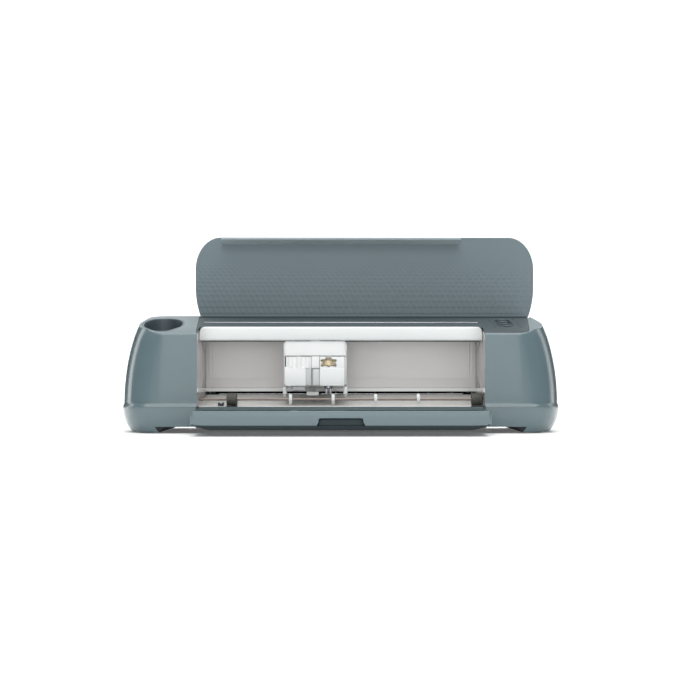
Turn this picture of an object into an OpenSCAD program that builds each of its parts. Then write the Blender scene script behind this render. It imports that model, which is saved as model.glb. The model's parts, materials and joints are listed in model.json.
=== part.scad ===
// Die cutting machine with an open lid and an open front door.
// Millimetres. +X is to the machine's right, +Y to its back, +Z up. The floor is z = 0.
// Inside the modules, depth runs from 0 at the front face plane towards the back.

/* [Body] */
// Overall width of the body
body_width = 564; // [400:1:700]
// Depth from the front face plane to the rear
body_depth = 177; // [150:1:220]
// Height of the deck at its front edge
deck_front_height = 130.3; // [110:0.1:150]
// Slope of the deck, rising to the rear, in degrees
deck_slope = 9.8; // [0:0.1:15]
// Wall of the plastic covers
wall = 2.5; // [1.5:0.1:4]
// Height of the seam between the base and the upper covers
seam_height = 33; // [20:1:50]
// Half width of the front opening
bay_half = 180; // [150:1:200]

/* [Door and lid] */
// Depth of the front door from hinge to free edge
door_reach = 93; // [60:1:110]
// Lid opening angle in degrees
lid_open_angle = 98; // [60:1:110]
// Depth of the lid hinge axis
lid_axis_depth = 138; // [120:1:150]
// Height of the lid hinge axis
lid_axis_height = 127; // [110:1:140]
// Distance from the lid hinge axis to the free edge
lid_reach = 134.5; // [100:0.5:150]

/* [Feed and carriage] */
// Height of the mat surface
mat_height = 34; // [30:0.5:45]
// Height of the rear slot's floor
slot_floor = 47; // [44:0.5:48]
// Radius of the grit rollers
grit_radius = 7.9; // [5:0.1:9]
// Radius of the star wheels
star_radius = 6.35; // [4:0.05:7]
// Spacing of the star wheels
star_pitch = 54.1; // [40:0.1:70]
// Centre of the carriage at rest
carriage_x = -33; // [-100:1:100]
// Gear module
gear_module = 0.8; // [0.5:0.1:1.2]
// Running clearance of shafts in their bores
run_gap = 0.05; // [0.02:0.01:0.1]

/* [Hidden] */
$fn = 32;
hw = body_width / 2;
mid_depth = (body_depth + 10 - door_reach) / 2;
ts = tan(deck_slope);
cs = cos(deck_slope);
sn = sin(deck_slope);
shell_col = [0.36, 0.44, 0.46];
deck_col = [0.25, 0.30, 0.33];
white_col = [0.92, 0.93, 0.92];
light_col = [0.75, 0.75, 0.74];
dark_col = [0.15, 0.16, 0.17];
metal_col = [0.7, 0.7, 0.72];
gold_col = [0.85, 0.62, 0.3];
bar_d = 32.5;
bar_z = mat_height + grit_radius + 0.3;
press_r = 4.6;
press_z = mat_height - 0.1 - press_r;
door_axis = [10, 17];
rail_a = [42, 125.5];
rail_b = [60, 126.5];
belt_z = 124;
tool_d = 42.5;
tool_ax = carriage_x - 25;
tool_bx = carriage_x + 17;
gear_teeth = 24;
pinion_teeth = 12;
feed_teeth = 36;
feed_pinion_teeth = 18;
pinion_d = tool_d + gear_module * (gear_teeth + pinion_teeth) / 2;
feed_motor_d = bar_d + gear_module * (feed_teeth + feed_pinion_teeth) / 2;
lid_x0 = -200;
lid_x1 = 264;
arm_xs = [-148, 208];
trough_x0 = -191.2;
trough_x1 = 255.2;

// ---------- helpers ----------
function deck_z(d) = deck_front_height + (d - 12) * ts;
function half_w(z) = z >= seam_height
  ? hw - 17 * pow((z - seam_height) / 103, 2.2)
  : hw - 11 * pow((seam_height - z) / seam_height, 2.4);
function mirror_x(p) = [for (i = [len(p) - 1:-1:0]) [-p[i][0], p[i][1]]];
function both(p) = concat(p, mirror_x(p));
// Outline seen from the front, inset by i.
function front_outline(i) = both([for (z = [0, 4, 9, 15, 24, seam_height, 50, 65, 80, 92, 104, 114,
  124, 133, 141, 148, 156, 164]) [half_w(z) - i, z]]);
// Outline seen from above, inset by i: flat front, elliptic front corners, rounded rear corners.
function plan_outline(i) = both(concat(
  [for (a = [0:10:90]) [hw - 44 + (44 - i) * sin(a), 72 - (72 - i) * cos(a)]],
  [for (a = [0:15:90]) [hw - 22 + (22 - i) * cos(a), body_depth - 34 + (34 - i) * sin(a)]]));
// Outline seen from the side, inset by i, counted from the front foot round over the top.
function side_outline(i) = concat(
  [[12 + i, 0], [6 + i, 9], [2.4 + i, 20], [i, seam_height], [0.8 + i, 60], [2.4 + i, 95],
   [4.5 + i, 116 - i * 0.3], [7.6 + i * 0.8, 125 - i * 0.6], [12.4 + i * 0.4, deck_z(12.4) - i]],
  [for (a = [90 + deck_slope:-(90 + deck_slope) / 9:0]) [body_depth - 31 + (31 - i) * cos(a),
    deck_z(body_depth - 31) - 31.4 + (31 - i) * sin(a)]],
  [[body_depth - i, 60], [body_depth - i, 36], [body_depth - 2 - i, 18], [body_depth - 6 - i, 0]]);

module fr() translate([0, -mid_depth, 0]) children();
module box(x0, x1, d0, d1, z0, z1) translate([x0, d0, z0]) cube([x1 - x0, d1 - d0, z1 - z0]);
module xrod(x0, x1, d, z, r) translate([x0, d, z]) rotate([0, 90, 0]) cylinder(h = x1 - x0, r = r);
module yrod(x, d0, d1, z, r) translate([x, d0, z]) rotate([-90, 0, 0]) cylinder(h = d1 - d0, r = r);
module zrod(x, d, z0, z1, r) translate([x, d, z0]) cylinder(h = z1 - z0, r = r);
module side(p, x0, x1) translate([x0, 0, 0]) rotate([90, 0, 90]) linear_extrude(x1 - x0) polygon(p);
module front(p, d0, d1) translate([0, d1, 0]) rotate([90, 0, 0]) linear_extrude(d1 - d0) polygon(p);
module plan(p, z0, z1) translate([0, 0, z0]) linear_extrude(z1 - z0) polygon(p);
module stadium(x0, x1, d0, d1, z0, z1) {
  r = (x1 - x0) / 2;
  zrod((x0 + x1) / 2, d0 + r, z0, z1, r);
  zrod((x0 + x1) / 2, d1 - r, z0, z1, r);
  box(x0, x1, d0 + r, d1 - r, z0, z1);
}
// Solid block of the body between two heights, inset by i.
module body_block(i, x0, x1, z0, z1) intersection() {
  side(side_outline(i), x0, x1);
  front(front_outline(i), -5, body_depth + 5);
  plan(plan_outline(i), z0, z1);
}
// Involute gear outline.
function inv_pt(rb, t, s, a) = [rb * (cos(s * t + a) + s * t * PI / 180 * sin(s * t + a)),
  rb * (sin(s * t + a) - s * t * PI / 180 * cos(s * t + a))];
function roll_at(rb, r) = r <= rb ? 0 : sqrt(pow(r / rb, 2) - 1) * 180 / PI;
function gear_outline(n, m, thin) = let (rp = n * m / 2, rb = rp * cos(20), ro = rp + m,
  rr = rp - 1.2 * m, tp = roll_at(rb, rp), half = 90 / n - thin / rp * 180 / PI / 2
  + (tp - atan(tp * PI / 180)), t1 = roll_at(rb, ro), t0 = roll_at(rb, max(rb, rr)))
  [for (k = [0:n - 1]) let (c = 360 * k / n) each concat(
    [[rr * cos(c - half), rr * sin(c - half)]],
    [for (j = [0:3]) inv_pt(rb, t0 + (t1 - t0) * j / 3, 1, c - half)],
    [for (j = [3:-1:0]) inv_pt(rb, t0 + (t1 - t0) * j / 3, -1, c + half)],
    [[rr * cos(c + half), rr * sin(c + half)]])];

// ---------- base ----------
module base_tray() color(shell_col) fr() {
  difference() {
    body_block(0, -300, 300, 1.2, seam_height);
    difference() {
      body_block(wall, -300, 300, 3.7, seam_height + 1);
      box(-232, 232, 0, 200, 0, 10.7);
      box(-183.5, 183.5, -5, 25.5, 0, 50);
      for (m = [-1, 1]) xrod(m > 0 ? 180 : -190, m > 0 ? 190 : -180, door_axis[0], door_axis[1], 5.5);
    }
    front([[-229, -1], [-224.5, 4.8], [-219, 7.6], [-213, 8.2], [213, 8.2], [219, 7.6], [224.5, 4.8], [229, -1]],
      -5, 200);
    box(-181, 181, -5, 23, -1, 50);
    for (m = [-1, 1]) xrod(m > 0 ? 179 : -191, m > 0 ? 191 : -179, door_axis[0], door_axis[1], 3);
  }
}
module rubber_feet() color(dark_col) fr()
  for (x = [-247, 247], d = [42, 148]) zrod(x, d, 0, 1.2, 9);
module case_screws() color(metal_col) fr()
  for (x = [-150, -50, 50, 150], d = [60, 158]) zrod(x, d, 7.2, 8.2, 3.2);

// ---------- covers ----------
bed = [[-181.5, 11], [243, 11], [256, 128.2], [-190.5, 128.2]];
module notch() {
  box(trough_x0, trough_x1, 126, 174, 91, 170);
  box(trough_x0, trough_x1, 170, 190, 124.6, 170);
}
module left_end_cover() color(shell_col) fr() difference() {
  body_block(0, -300, -bay_half - 0.2, seam_height + 0.2, 200);
  body_block(wall, -300, -bay_half + 5, seam_height - 5, 200);
  plan([[-181.8, 10.8], [0, 10.8], [0, 200], [-190.9, 200], [-190.9, 128.2]], 120, 200);
  stadium(-259.2, -203.8, 12.8, 127.2, 100, 200);
  notch();
}
module right_end_cover() color(shell_col) fr() difference() {
  body_block(0, bay_half + 0.2, 300, seam_height + 0.2, 200);
  body_block(wall, bay_half - 5, 300, seam_height - 5, 200);
  plan([[0, 10.8], [243.3, 10.8], [256.35, 128.4], [0, 128.4]], 120, 200);
  notch();
  box(216, 244, 165, 190, 60, 82);
  box(196, 210, 165, 190, 62, 72);
}
module rear_cover() color(shell_col) fr() difference() {
  union() {
    box(-bay_half, bay_half, body_depth - wall, body_depth, seam_height + 0.2, 124.4);
    box(-bay_half, bay_half, body_depth - 6, body_depth, 122.4, 124.4);
  }
  box(-168, 168, 160, 190, slot_floor - 0.2, 51.5);
  for (x = [-150:12:-90], z = [70, 80, 90]) yrod(x, 160, 190, z, 2);
}
module slab(x0, x1, d0, d1, top, t)
  side([[d0, deck_z(d0) - top - t], [d1, deck_z(d1) - top - t], [d1, deck_z(d1) - top],
    [d0, deck_z(d0) - top]], x0, x1);
module top_deck() color(deck_col) fr() {
  difference() {
    intersection() {
      slab(-200, 260, 5, 140, 0.4, 2.8);
      plan(bed, 100, 200);
    }
    box(-bay_half, bay_half, 0, 86, 100, 200);
    plan([[197, 30], [229, 30], [229, 118], [197, 118]], 100, 200);
  }
  // Bull-nosed front, bright ridge and docking slot.
  side([[31, 130.4], [31, 133], [33, 134.4], [42, 137], [44.4, 137], [45, 136.2], [46, 137.4],
    [58, 140], [60, 140.2], [61, 139.4], [63, 139.6], [64.6, 141.6], [66.6, 142.4], [69.6, 142.4],
    [71.4, 141.6], [72, 140.4], [72, 119], [84, 119], [84, deck_z(84) - 0.4],
    [86.2, deck_z(86.2) - 0.4], [86.2, 116.8], [69.8, 116.8], [69.8, 138.6], [62, 136.6],
    [45, 133.4]], -bay_half + 0.3, bay_half - 0.3);
  for (m = [-1, 1]) box(m > 0 ? 176 : -179.7, m > 0 ? 179.7 : -176, 71, 85, 118, 140);
}
module hinge_trough() color(dark_col) fr() difference() {
  intersection() {
    box(trough_x0, trough_x1, 126, 172.2, 91, 160);
    side(concat([[100, 60], [100, deck_z(100) - 3.4], [128, deck_z(128) - 3.4]],
      [[140, deck_z(128) - 3.4], [160, 138], [172.2, 121], [174, 60]]), -300, 300);
  }
  box(trough_x0 + 1.5, trough_x1 - 1.5, 127.8, 170.4, 93, 180);
  box(trough_x0 + 1.5, trough_x1 - 1.5, 160, 180, 122, 180);
}
module on_deck(x, d) translate([x, d, deck_z(d)]) rotate([deck_slope, 0, 0]) children();
btn_d = [44, 64, 84, 104];
btn_r = [5.5, 4.5, 5.5, 6.5];
module button_panel() color(dark_col) fr() difference() {
  slab(197.2, 228.8, 30.2, 117.8, 0.2, 3);
  for (i = [0:3]) on_deck(213, btn_d[i]) translate([0, 0, -10]) cylinder(h = 20, r = btn_r[i] + 0.35);
}
module button(i) on_deck(213, btn_d[i]) translate([0, 0, -4]) {
  cylinder(h = 4.9, r = btn_r[i]);
  translate([0, 0, -1.2]) cylinder(h = 1.5, r = btn_r[i] + 1.3);
}
module power_button() color(light_col) fr() button(3);
module pause_button() color(light_col) fr() button(0);
module load_button() color(light_col) fr() button(1);
module go_button() color(light_col) fr() button(2);
module cup_liner() color(shell_col) fr() difference() {
  intersection() {
    stadium(-259, -204, 13, 127, 76, 200);
    side([[0, 60], [0, deck_z(0) + 0.2], [180, deck_z(180) + 0.2], [180, 60]], -300, -100);
    front(front_outline(wall + 0.2), -5, 200);
  }
  stadium(-256.8, -206.2, 15.2, 124.8, 79, 200);
}
module cup_mat() color(dark_col) fr() stadium(-252, -211, 20, 120, 79, 81);

// ---------- inner frame ----------
module frame_plate(x0, x1) difference() {
  side([[24.5, seam_height + 0.5], [5.5, seam_height + 0.5], [5.5, 97], [7.8, 115], [9.2, 121],
    [14.5, deck_z(14.5) - 3.6],
    [69, deck_z(69) - 3.6], [87, deck_z(87) - 3.6], [124.5, deck_z(124.5) - 3.6], [124.5, 89.5],
    [166, 89.5], [166, 55], [166, seam_height + 0.5]], x0, x1);
  xrod(x0 - 1, x1 + 1, rail_a[0], rail_a[1], 4);
  xrod(x0 - 1, x1 + 1, rail_b[0], rail_b[1], 3);
  xrod(x0 - 1, x1 + 1, bar_d, bar_z, 1.6 + run_gap);
  box(x0 - 1, x1 + 1, 47, 55, belt_z - 8.5, belt_z + 8.5);
}
module left_side_frame() color(light_col) fr() frame_plate(-184, -180.4);
module right_side_frame() color(light_col) fr() frame_plate(180.4, 184);
module chassis_plate() color(metal_col) fr() difference() {
  union() {
    box(-176, 176, 42, 168, 10.7, 12.7);
    for (x = [-160, 0, 160], d = [66, 150]) zrod(x, d, 12.7, d > 100 ? slot_floor - 2.1 : mat_height + 0.3, 4);
  }
  for (x = [-120:60:120]) zrod(x, 105, 5, 20, 14);
}
module back_panel() color(light_col) fr() {
  side([[115, 69], [112, 57], [112, 56.2], [114, 56.2], [117, 69], [117, 141], [115, 141]], -180.2, 180.2);
  for (x = [-175.8, -171, 171, 175.8]) box(x - 0.6, x + 0.6, 114, 115, 70, 140);
}
module rear_slot_lip() color(white_col) fr()
  side([[108, 51.3], [108, 56], [116, 56], [116, 53.2], [174.3, 53.2], [174.3, 51.3]], -180.2, 180.2);
module platen() color(light_col) fr() difference() {
  side([[25.8, 30.6], [25.8, 32.6], [28, mat_height - 0.4], [30, mat_height], [50, mat_height],
    [112, slot_floor], [174.3, slot_floor], [174.3, slot_floor - 2], [112, slot_floor - 2],
    [50, mat_height - 2], [30, mat_height - 2]],
    -180.2, 180.2);
  for (x = [-138.5, 172.5]) box(x - 7.6, x + 7.6, bar_d - 6.2, bar_d + 6.2, 25, 40);
  box(-170, 170, 39.8, 46.2, mat_height - 0.8, 40);
}
module cutting_strip() color(dark_col) fr() box(-169.8, 169.8, 40, 46, mat_height - 0.8, mat_height - 0.05);
module beam_cover() color(white_col) fr() {
  difference() {
    intersection() {
      side([[22, 119], [24, 116.8], [34, 116.8], [34, 120], [30.7, 120], [30.7, 134], [25, 134], [22, 131]],
        -178, 178);
      union() {
        box(-172, 172, 20, 36, 116, 135);
        for (x = [-172, 172], z = [122.8, 128]) yrod(x, 20, 36, z, 6);
        box(-178, 178, 20, 36, 122.8, 128);
      }
    }
    side([[24.2, 119.4], [36, 119.4], [36, 131.6], [25.6, 131.6], [24.2, 130]], -176, 176);
  }
  for (m = [-1, 1]) box(m > 0 ? 176 : -180.3, m > 0 ? 180.3 : -176, 25, 33, 120, 130);
}
module guide_rail() color(metal_col) fr() xrod(-184, 184, rail_a[0], rail_a[1], 4);
module rear_rail() color(metal_col) fr() xrod(-184, 184, rail_b[0], rail_b[1], 3);
module belt_outline(r) {
  translate([-196, 0]) circle(r = r);
  translate([196, 0]) circle(r = r);
  translate([-196, -r]) square([392, 2 * r]);
}
module drive_belt() color(dark_col) fr() translate([0, 53.5, belt_z]) rotate([90, 0, 0])
  linear_extrude(5) difference() {
    belt_outline(6.9);
    belt_outline(5.85);
  }
module pulley(x) difference() {
  union() {
    yrod(x, 48.2, 53.8, belt_z, 5.5);
    yrod(x, 47, 48.2, belt_z, 7.6);
    yrod(x, 53.8, 55, belt_z, 7.6);
    yrod(x, 55, 57, belt_z, 4);
  }
  yrod(x, 40, 60, belt_z, 2 + run_gap);
}
module carriage_motor() color(metal_col) fr() {
  yrod(196, 58, 90, belt_z, 10);
  yrod(196, 46, 58, belt_z, 2);
  box(185, 207, 58, 60, belt_z - 10, belt_z + 10);
}
module motor_pulley() color(light_col) fr() pulley(196);
module idler_pulley() color(light_col) fr() pulley(-196);
module feed_motor() color(metal_col) fr() {
  xrod(200, 232, feed_motor_d, bar_z, 12);
  xrod(186, 200, feed_motor_d, bar_z, 2);
  box(197.5, 200, feed_motor_d - 14, feed_motor_d + 14, 12, bar_z + 14);
}
module gear_x(x0, x1, d, z, n, turn) translate([x0, d, z]) rotate([90, 0, 90])
  rotate([0, 0, turn]) linear_extrude(x1 - x0) polygon(gear_outline(n, gear_module, 0.16));
module feed_pinion() color(light_col) fr() difference() {
  gear_x(188, 195, feed_motor_d, bar_z, feed_pinion_teeth, 180 + 180 / feed_pinion_teeth);
  xrod(180, 210, feed_motor_d, bar_z, 2 + run_gap);
}
module feed_bar() color(dark_col) fr() {
  xrod(-188, 197, bar_d, bar_z, 1.6);
  gear_x(189, 194, bar_d, bar_z, feed_teeth, 0);
}
module grit_rollers() color(dark_col) fr() for (x = [-138.5, 172.5]) difference() {
  xrod(x - 6.5, x + 6.5, bar_d, bar_z, grit_radius);
  xrod(x - 7, x + 7, bar_d, bar_z, 1.6);
}
module star_wheel(i) translate([carriage_x - 31.1 + star_pitch * i - 2, bar_d, bar_z]) rotate([90, 0, 90])
  linear_extrude(4) difference() {
    polygon([for (k = [0:35]) let (r = star_radius * (k % 2 == 0 ? 1 : 0.88)) [r * cos(k * 10), r * sin(k * 10)]]);
    circle(r = 1.6 + run_gap);
  }
module star_wheel_1() color(white_col) fr() star_wheel(0);
module star_wheel_2() color(white_col) fr() star_wheel(1);
module star_wheel_3() color(white_col) fr() star_wheel(2);
module star_wheel_4() color(white_col) fr() star_wheel(3);
module press_rollers() color(dark_col) fr() {
  xrod(-155.3, 179.4, bar_d, press_z, 1.5);
  for (x = [-138.5, 172.5]) xrod(x - 6.5, x + 6.5, bar_d, press_z, press_r);
}
module mat_guides() color(light_col) fr() {
  for (x = [-152.5, 161.5]) difference() {
    box(x - 2.8, x + 2.8, 30.2, 36, mat_height - 8, mat_height - 2);
    xrod(x - 4, x + 4, bar_d, press_z, 1.5 + run_gap);
  }
  for (x = [-155.8, -150.6]) box(x, x + 1.4, 27, 40, mat_height, mat_height + 4);
  box(-155.8, -149.2, 27, 29, mat_height, mat_height + 3);
}

// ---------- electronics ----------
module main_board() color([0.1, 0.35, 0.25]) fr() {
  box(190, 262, 84, 160, 56, 57.6);
  for (x = [194, 258], d = [88, 156]) zrod(x, d, 34, 56, 2.5);
  box(200, 222, 95, 115, 57.6, 61);
  box(230, 246, 100, 122, 57.6, 60);
  for (x = [232, 244]) zrod(x, 140, 57.6, 70, 5);
}
module rear_sockets() color(dark_col) fr() {
  difference() {
    box(216.2, 243.8, 160, body_depth - 0.4, 60.2, 81.8);
    box(219, 241, 164, body_depth + 1, 63, 79);
  }
  for (x = [225, 230, 235]) yrod(x, 164, 173, x == 230 ? 74 : 69, 1.2);
  difference() {
    box(196.2, 209.8, 160, body_depth - 0.4, 62.2, 71.8);
    box(198, 208, 163, body_depth + 1, 64, 70);
  }
}

// ---------- lid, drawn closed and turned open about its hinge ----------
module lid_rest() translate([0, lid_axis_depth, lid_axis_height]) rotate([-lid_open_angle, 0, 0])
  translate([0, -lid_axis_depth, -lid_axis_height]) children();
function lid_pt(s, n) = [lid_axis_depth - s * cs - n * sn, lid_axis_height - s * sn + n * cs];
// The panel wraps round the axis in equal steps, so that the lid's layers fit one another.
lid_step = (84 + deck_slope) / 16;
function lid_arc(n, last) = [for (k = [0:last]) let (a = 90 + deck_slope - k * lid_step)
  [lid_axis_depth + n * cos(a), lid_axis_height + n * sin(a)]];
function lid_section(n0, n1, s1, last) = concat([lid_pt(s1, n1)], lid_arc(n1, last),
  rev(lid_arc(n0, last)), [lid_pt(s1, n0)]);
// Half outlines of the lid as x against s, inset by i.
function lid_edge(xe, m, i) = concat(
  [for (a = [0:10:90]) [xe - m * (35 + (i - 35) * sin(a)) - 0, lid_reach - 44 + (44 - i) * cos(a)]],
  [for (a = [0:8:70]) [xe - m * (51 - (51 - i) * cos(a)), 74 - (86 - i) * sin(a)]],
  [[xe - m * (51 - (51 - i) * cos(70)), -40]]);
function rev(p) = [for (i = [len(p) - 1:-1:0]) p[i]];
function lid_outline(i) = [for (q = concat(lid_edge(lid_x1, 1, i), rev(lid_edge(lid_x0, -1, i)))) [q[0], -q[1]]];
module lid_prism(i) translate([0, lid_axis_depth, lid_axis_height]) rotate([deck_slope, 0, 0])
  translate([0, 0, -45]) linear_extrude(90) polygon(lid_outline(i));
module lid_shell() color(shell_col) fr() lid_rest() {
  intersection() {
    side(lid_section(28.5, 31, lid_reach, 16), -210, 270);
    lid_prism(0);
  }
  // Rim round the outline, on the inner side.
  intersection() {
    side(lid_section(27.1, 28.5, lid_reach, 7), -210, 270);
    difference() {
      lid_prism(0);
      lid_prism(3);
    }
  }
  // Front lip that closes the gap above the door.
  intersection() {
    side([[7.8, 136], [6.4, 112.2], [8.4, 112.2], [10, 136]], -162, 162);
    side(concat([[-5, 100], [30, 100]], [lid_pt(110, 28.6), lid_pt(150, 28.6)]), -200, 200);
  }
}
module lid_liner() color(shell_col) fr() lid_rest() difference() {
  intersection() {
    side(lid_section(27.6, 28.45, lid_reach - 11.5, 7), -210, 270);
    lid_prism(3.2);
  }
}
module lid_hinge_arms() color(shell_col) fr() lid_rest() for (x = arm_xs) difference() {
  union() {
    intersection() {
      translate([x, lid_axis_depth, lid_axis_height]) rotate([deck_slope, 0, 0]) translate([0, -4, 0])
        cube([6, 10, 30]);
      xrod(x, x + 6, lid_axis_depth, lid_axis_height, 27.3);
    }
    xrod(x, x + 6, lid_axis_depth, lid_axis_height, 6);
  }
  xrod(x - 1, x + 7, lid_axis_depth, lid_axis_height, 3 + run_gap);
}
module lid_hinge_pins() color(metal_col) fr() for (x = arm_xs) {
  xrod(x - 6, x + 12, lid_axis_depth, lid_axis_height, 3);
  for (b = [x - 5, x + 7.5]) side([[127.8, 112], [140, 121], [143, 127], [140, 132], [134, 133],
    [127.8, 131]], b, b + 3.5);
}

// ---------- door, drawn open ----------
module door_outline_solid(x0, x1) side(concat(
  [[-83, 27.2], [-83, 14.4], [-81.4, 11], [-78, 8.6], [-73, 7.3], [-66, 7]],
  [for (a = [-90:15:75]) [10 + 10 * cos(a), 17 + 10 * sin(a)]],
  [[8, 29.6], [-80.6, 29.6]]), x0, x1);
module door_shell() color(shell_col) fr() difference() {
  door_outline_solid(-178.5, 178.5);
  difference() {
    box(-176, 176, -80.5, -1.5, 9.6, 40);
    box(-31, 31, -81, -67, 9, 23);
  }
  front([[-28.3, 12.8], [-24, 21], [24, 21], [28.3, 12.8]], -90, -76);
  for (m = [-1, 1]) xrod(m > 0 ? 164 : -180, m > 0 ? 180 : -164, door_axis[0], door_axis[1], 3 + run_gap);
}
module door_tray() color(deck_col) fr() difference() {
  box(-175.9, 175.9, -80.4, -1.6, 9.7, 29.2);
  box(-31.2, 31.2, -81, -66.8, 9, 23.2);
  box(-170, -62, -65, -6, 12, 40);
  box(-54, 170, -63.6, -6, 12, 40);
  box(-54, 170, -67.2, -6, 25, 40);
  xrod(-57, 173, -64.8, 27.2, 1.05 + run_gap);
}
module door_flap() color(shell_col) fr() {
  box(-53.2, 169.2, -64.8, -7, 26.4, 28);
  xrod(-53.2, 169.2, -64.8, 27.2, 1.7);
  xrod(-56.4, 172.4, -64.8, 27.2, 1);
  box(50, 66, -9, -7, 24.6, 26.4);
}
module door_hinge_pins() color(metal_col) fr()
  for (m = [-1, 1]) xrod(m > 0 ? 166 : -189, m > 0 ? 189 : -166, door_axis[0], door_axis[1], 3);

// ---------- carriage ----------
module carriage_chassis() color(light_col) fr() translate([carriage_x, 0, 0]) difference() {
  union() {
    box(-38, 38, 36.5, 66, 110.6, 114.6);
    for (x = [-38, 26]) {
      box(x, x + 12, 36.5, 46.8, 114.6, 131);
      box(x, x + 12, 55.2, 66, 114.6, 131.5);
    }
    box(-38, 38, 63.6, 66, 59, 110.6);
    for (x = [-38, 36]) box(x, x + 2, 38, 63.6, 59, 110.6);
    for (x = [-41, 37.2]) {
      box(x, x + 3.8, 40, 62, 45.4, 58.6);
      box(x > 0 ? 36 : -41, x > 0 ? 41 : -36, 46, 62, 58.6, 60.6);
    }
    // Centre post between the two clamps.
    box(-3.2, 5, 28.6, 36, 59.4, 81);
    box(-9, 5, 33, 60, 59.4, 96);
    // Belt clamp and the white sensor foot.
    box(-6, 6, 47.4, 54.6, 114.6, belt_z - 3.6);
    box(-11, 4, 44, 58, 47.5, 52);
    box(-8, 0, 52, 60, 52, 59.4);
    // Hinge pins of the clamps and guide rods of the tools.
    for (x = [-36.2, 35.2]) zrod(x, 33.6, 58.4, 96.4, 1.5);
    for (x = [-36.2, 35.2]) box(x - (x > 0 ? 1.8 : 1.8), x + 1.8, 31.8, 40, 96.2, 98);
    zrod(-25, 57.5, 59.2, 110.6, 1.5);
    zrod(28, 57.5, 59.2, 110.6, 1.5);
    box(-37, -13, 55, 64, 59, 60.8);
    box(22, 37, 55, 64, 59, 60.8);
  }
  for (x = [-39, 25]) {
    xrod(x, x + 14, rail_a[0], rail_a[1], 5);
    xrod(x, x + 14, rail_b[0], rail_b[1], 4);
  }
  box(-7, 7, 47.9, 54.1, belt_z - 7.4, belt_z - 5.4);
}
module carriage_bushings() color(dark_col) fr() translate([carriage_x, 0, 0])
  for (x = [-38, 26]) difference() {
    union() {
      xrod(x, x + 12, rail_a[0], rail_a[1], 5);
      xrod(x, x + 12, rail_b[0], rail_b[1], 4);
    }
    xrod(x - 1, x + 13, rail_a[0], rail_a[1], 4 + run_gap);
    xrod(x - 1, x + 13, rail_b[0], rail_b[1], 3 + run_gap);
  }
module rounded_cap(x0, x1, d0, d1, z0, z1, r) {
  for (x = [x0 + r, x1 - r]) zrod(x, d0 + r, z0, z1, r);
  box(x0 + r, x1 - r, d0, d0 + r + 1, z0, z1);
  box(x0, x1, d0 + r, d1, z0, z1);
}
module carriage_cover() color(white_col) fr() translate([carriage_x, 0, 0]) difference() {
  union() {
    rounded_cap(-40, 40, 28, 63, 98.2, 116, 5);
    for (x = [-40, 38.2]) box(x, x + 1.8, 38.5, 63, 60.7, 98.2);
  }
  rounded_cap(-38.2, 38.2, 29.8, 64, 97, 114.8, 3.6);
  box(-38.2, 38.2, 36, 64, 110, 120);
}
module clamp_panel(x0, x1, z0, z1, flip) {
  rounded_x = flip ? x1 : x0;
  box(x0, x1, 28.2, 30.6, z0, z1);
}
module clamp_a_lever() color(white_col) fr() translate([carriage_x, 0, 0]) difference() {
  union() {
    box(-38.6, -10.4, 28.2, 30.8, 59.6, 96);
    box(-10.6, -4.4, 29.6, 31.2, 59.6, 80);
    box(-31, -14, 30.8, 33, 61, 68);
    for (x = [-34, -27, -20, -13.4]) zrod(x, 28.4, 84, 96, 1.1);
    zrod(-36.2, 33.6, 61, 95.6, 2.9);
    box(-38.6, -35, 30, 33.6, 61, 95.6);
  }
  zrod(-36.2, 33.6, 50, 100, 1.5 + run_gap);
}
module clamp_b_lever() color(white_col) fr() translate([carriage_x, 0, 0]) difference() {
  union() {
    box(6, 37.6, 28.2, 30.8, 59.6, 81.4);
    box(28.8, 37.6, 28.2, 30.8, 81.4, 96);
    box(10, 26, 30.8, 33, 61, 68);
    zrod(35.2, 33.6, 61, 95.6, 2.9);
    box(34, 37.6, 30, 33.6, 61, 95.6);
  }
  zrod(35.2, 33.6, 50, 100, 1.5 + run_gap);
}
module tool_a_adapter() color(light_col) fr() difference() {
  union() {
    zrod(tool_ax, tool_d, 62, 98, 8.8);
    zrod(tool_ax, tool_d, 52, 62, 5.2);
    box(tool_ax - 5, tool_ax + 5, 48, 61.5, 74, 92);
  }
  zrod(tool_ax, 57.5, 40, 120, 1.5 + run_gap);
  zrod(tool_ax, tool_d, 55, 120, 4.5);
}
module tool_b_housing() color(light_col) fr() difference() {
  union() {
    zrod(tool_bx, tool_d, 60, 83, 8);
    box(tool_bx, tool_bx + 12, 46, 50, 74.6, 83);
    box(tool_bx + 8.4, tool_bx + 15.4, 46, 61.5, 74.6, 83);
  }
  zrod(carriage_x + 28, 57.5, 40, 120, 1.5 + run_gap);
  zrod(tool_bx, tool_d, 50, 100, 2 + run_gap);
}
module blade_gear() color(gold_col) fr() difference() {
  union() {
    translate([tool_bx, tool_d, 84]) linear_extrude(8) polygon(gear_outline(gear_teeth, gear_module, 0.16));
    zrod(tool_bx, tool_d, 92, 95, 5.4);
  }
  zrod(tool_bx, tool_d, 80, 100, 2);
}
module blade_spindle() color(metal_col) fr() {
  zrod(tool_bx, tool_d, 56, 95, 2);
  translate([tool_bx, tool_d, 0]) rotate_extrude() polygon([[0, 50], [2, 50], [3.4, 52], [5.6, 55],
    [5.6, 59.6], [0, 59.6]]);
  box(tool_bx - 0.4, tool_bx + 0.4, tool_d - 1.6, tool_d + 1.2, 46.8, 50.4);
}
module drive_motor() color(metal_col) fr() {
  zrod(tool_bx, pinion_d, 95, 110.4, 5.8);
  zrod(tool_bx, pinion_d, 70.4, 95, 1);
}
module drive_pinion() color(light_col) fr() difference() {
  translate([tool_bx, pinion_d, 71]) rotate([0, 0, 180 / pinion_teeth + 90]) linear_extrude(23)
    polygon(gear_outline(pinion_teeth, gear_module, 0.16));
  zrod(tool_bx, pinion_d, 60, 100, 1 + run_gap);
}

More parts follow.
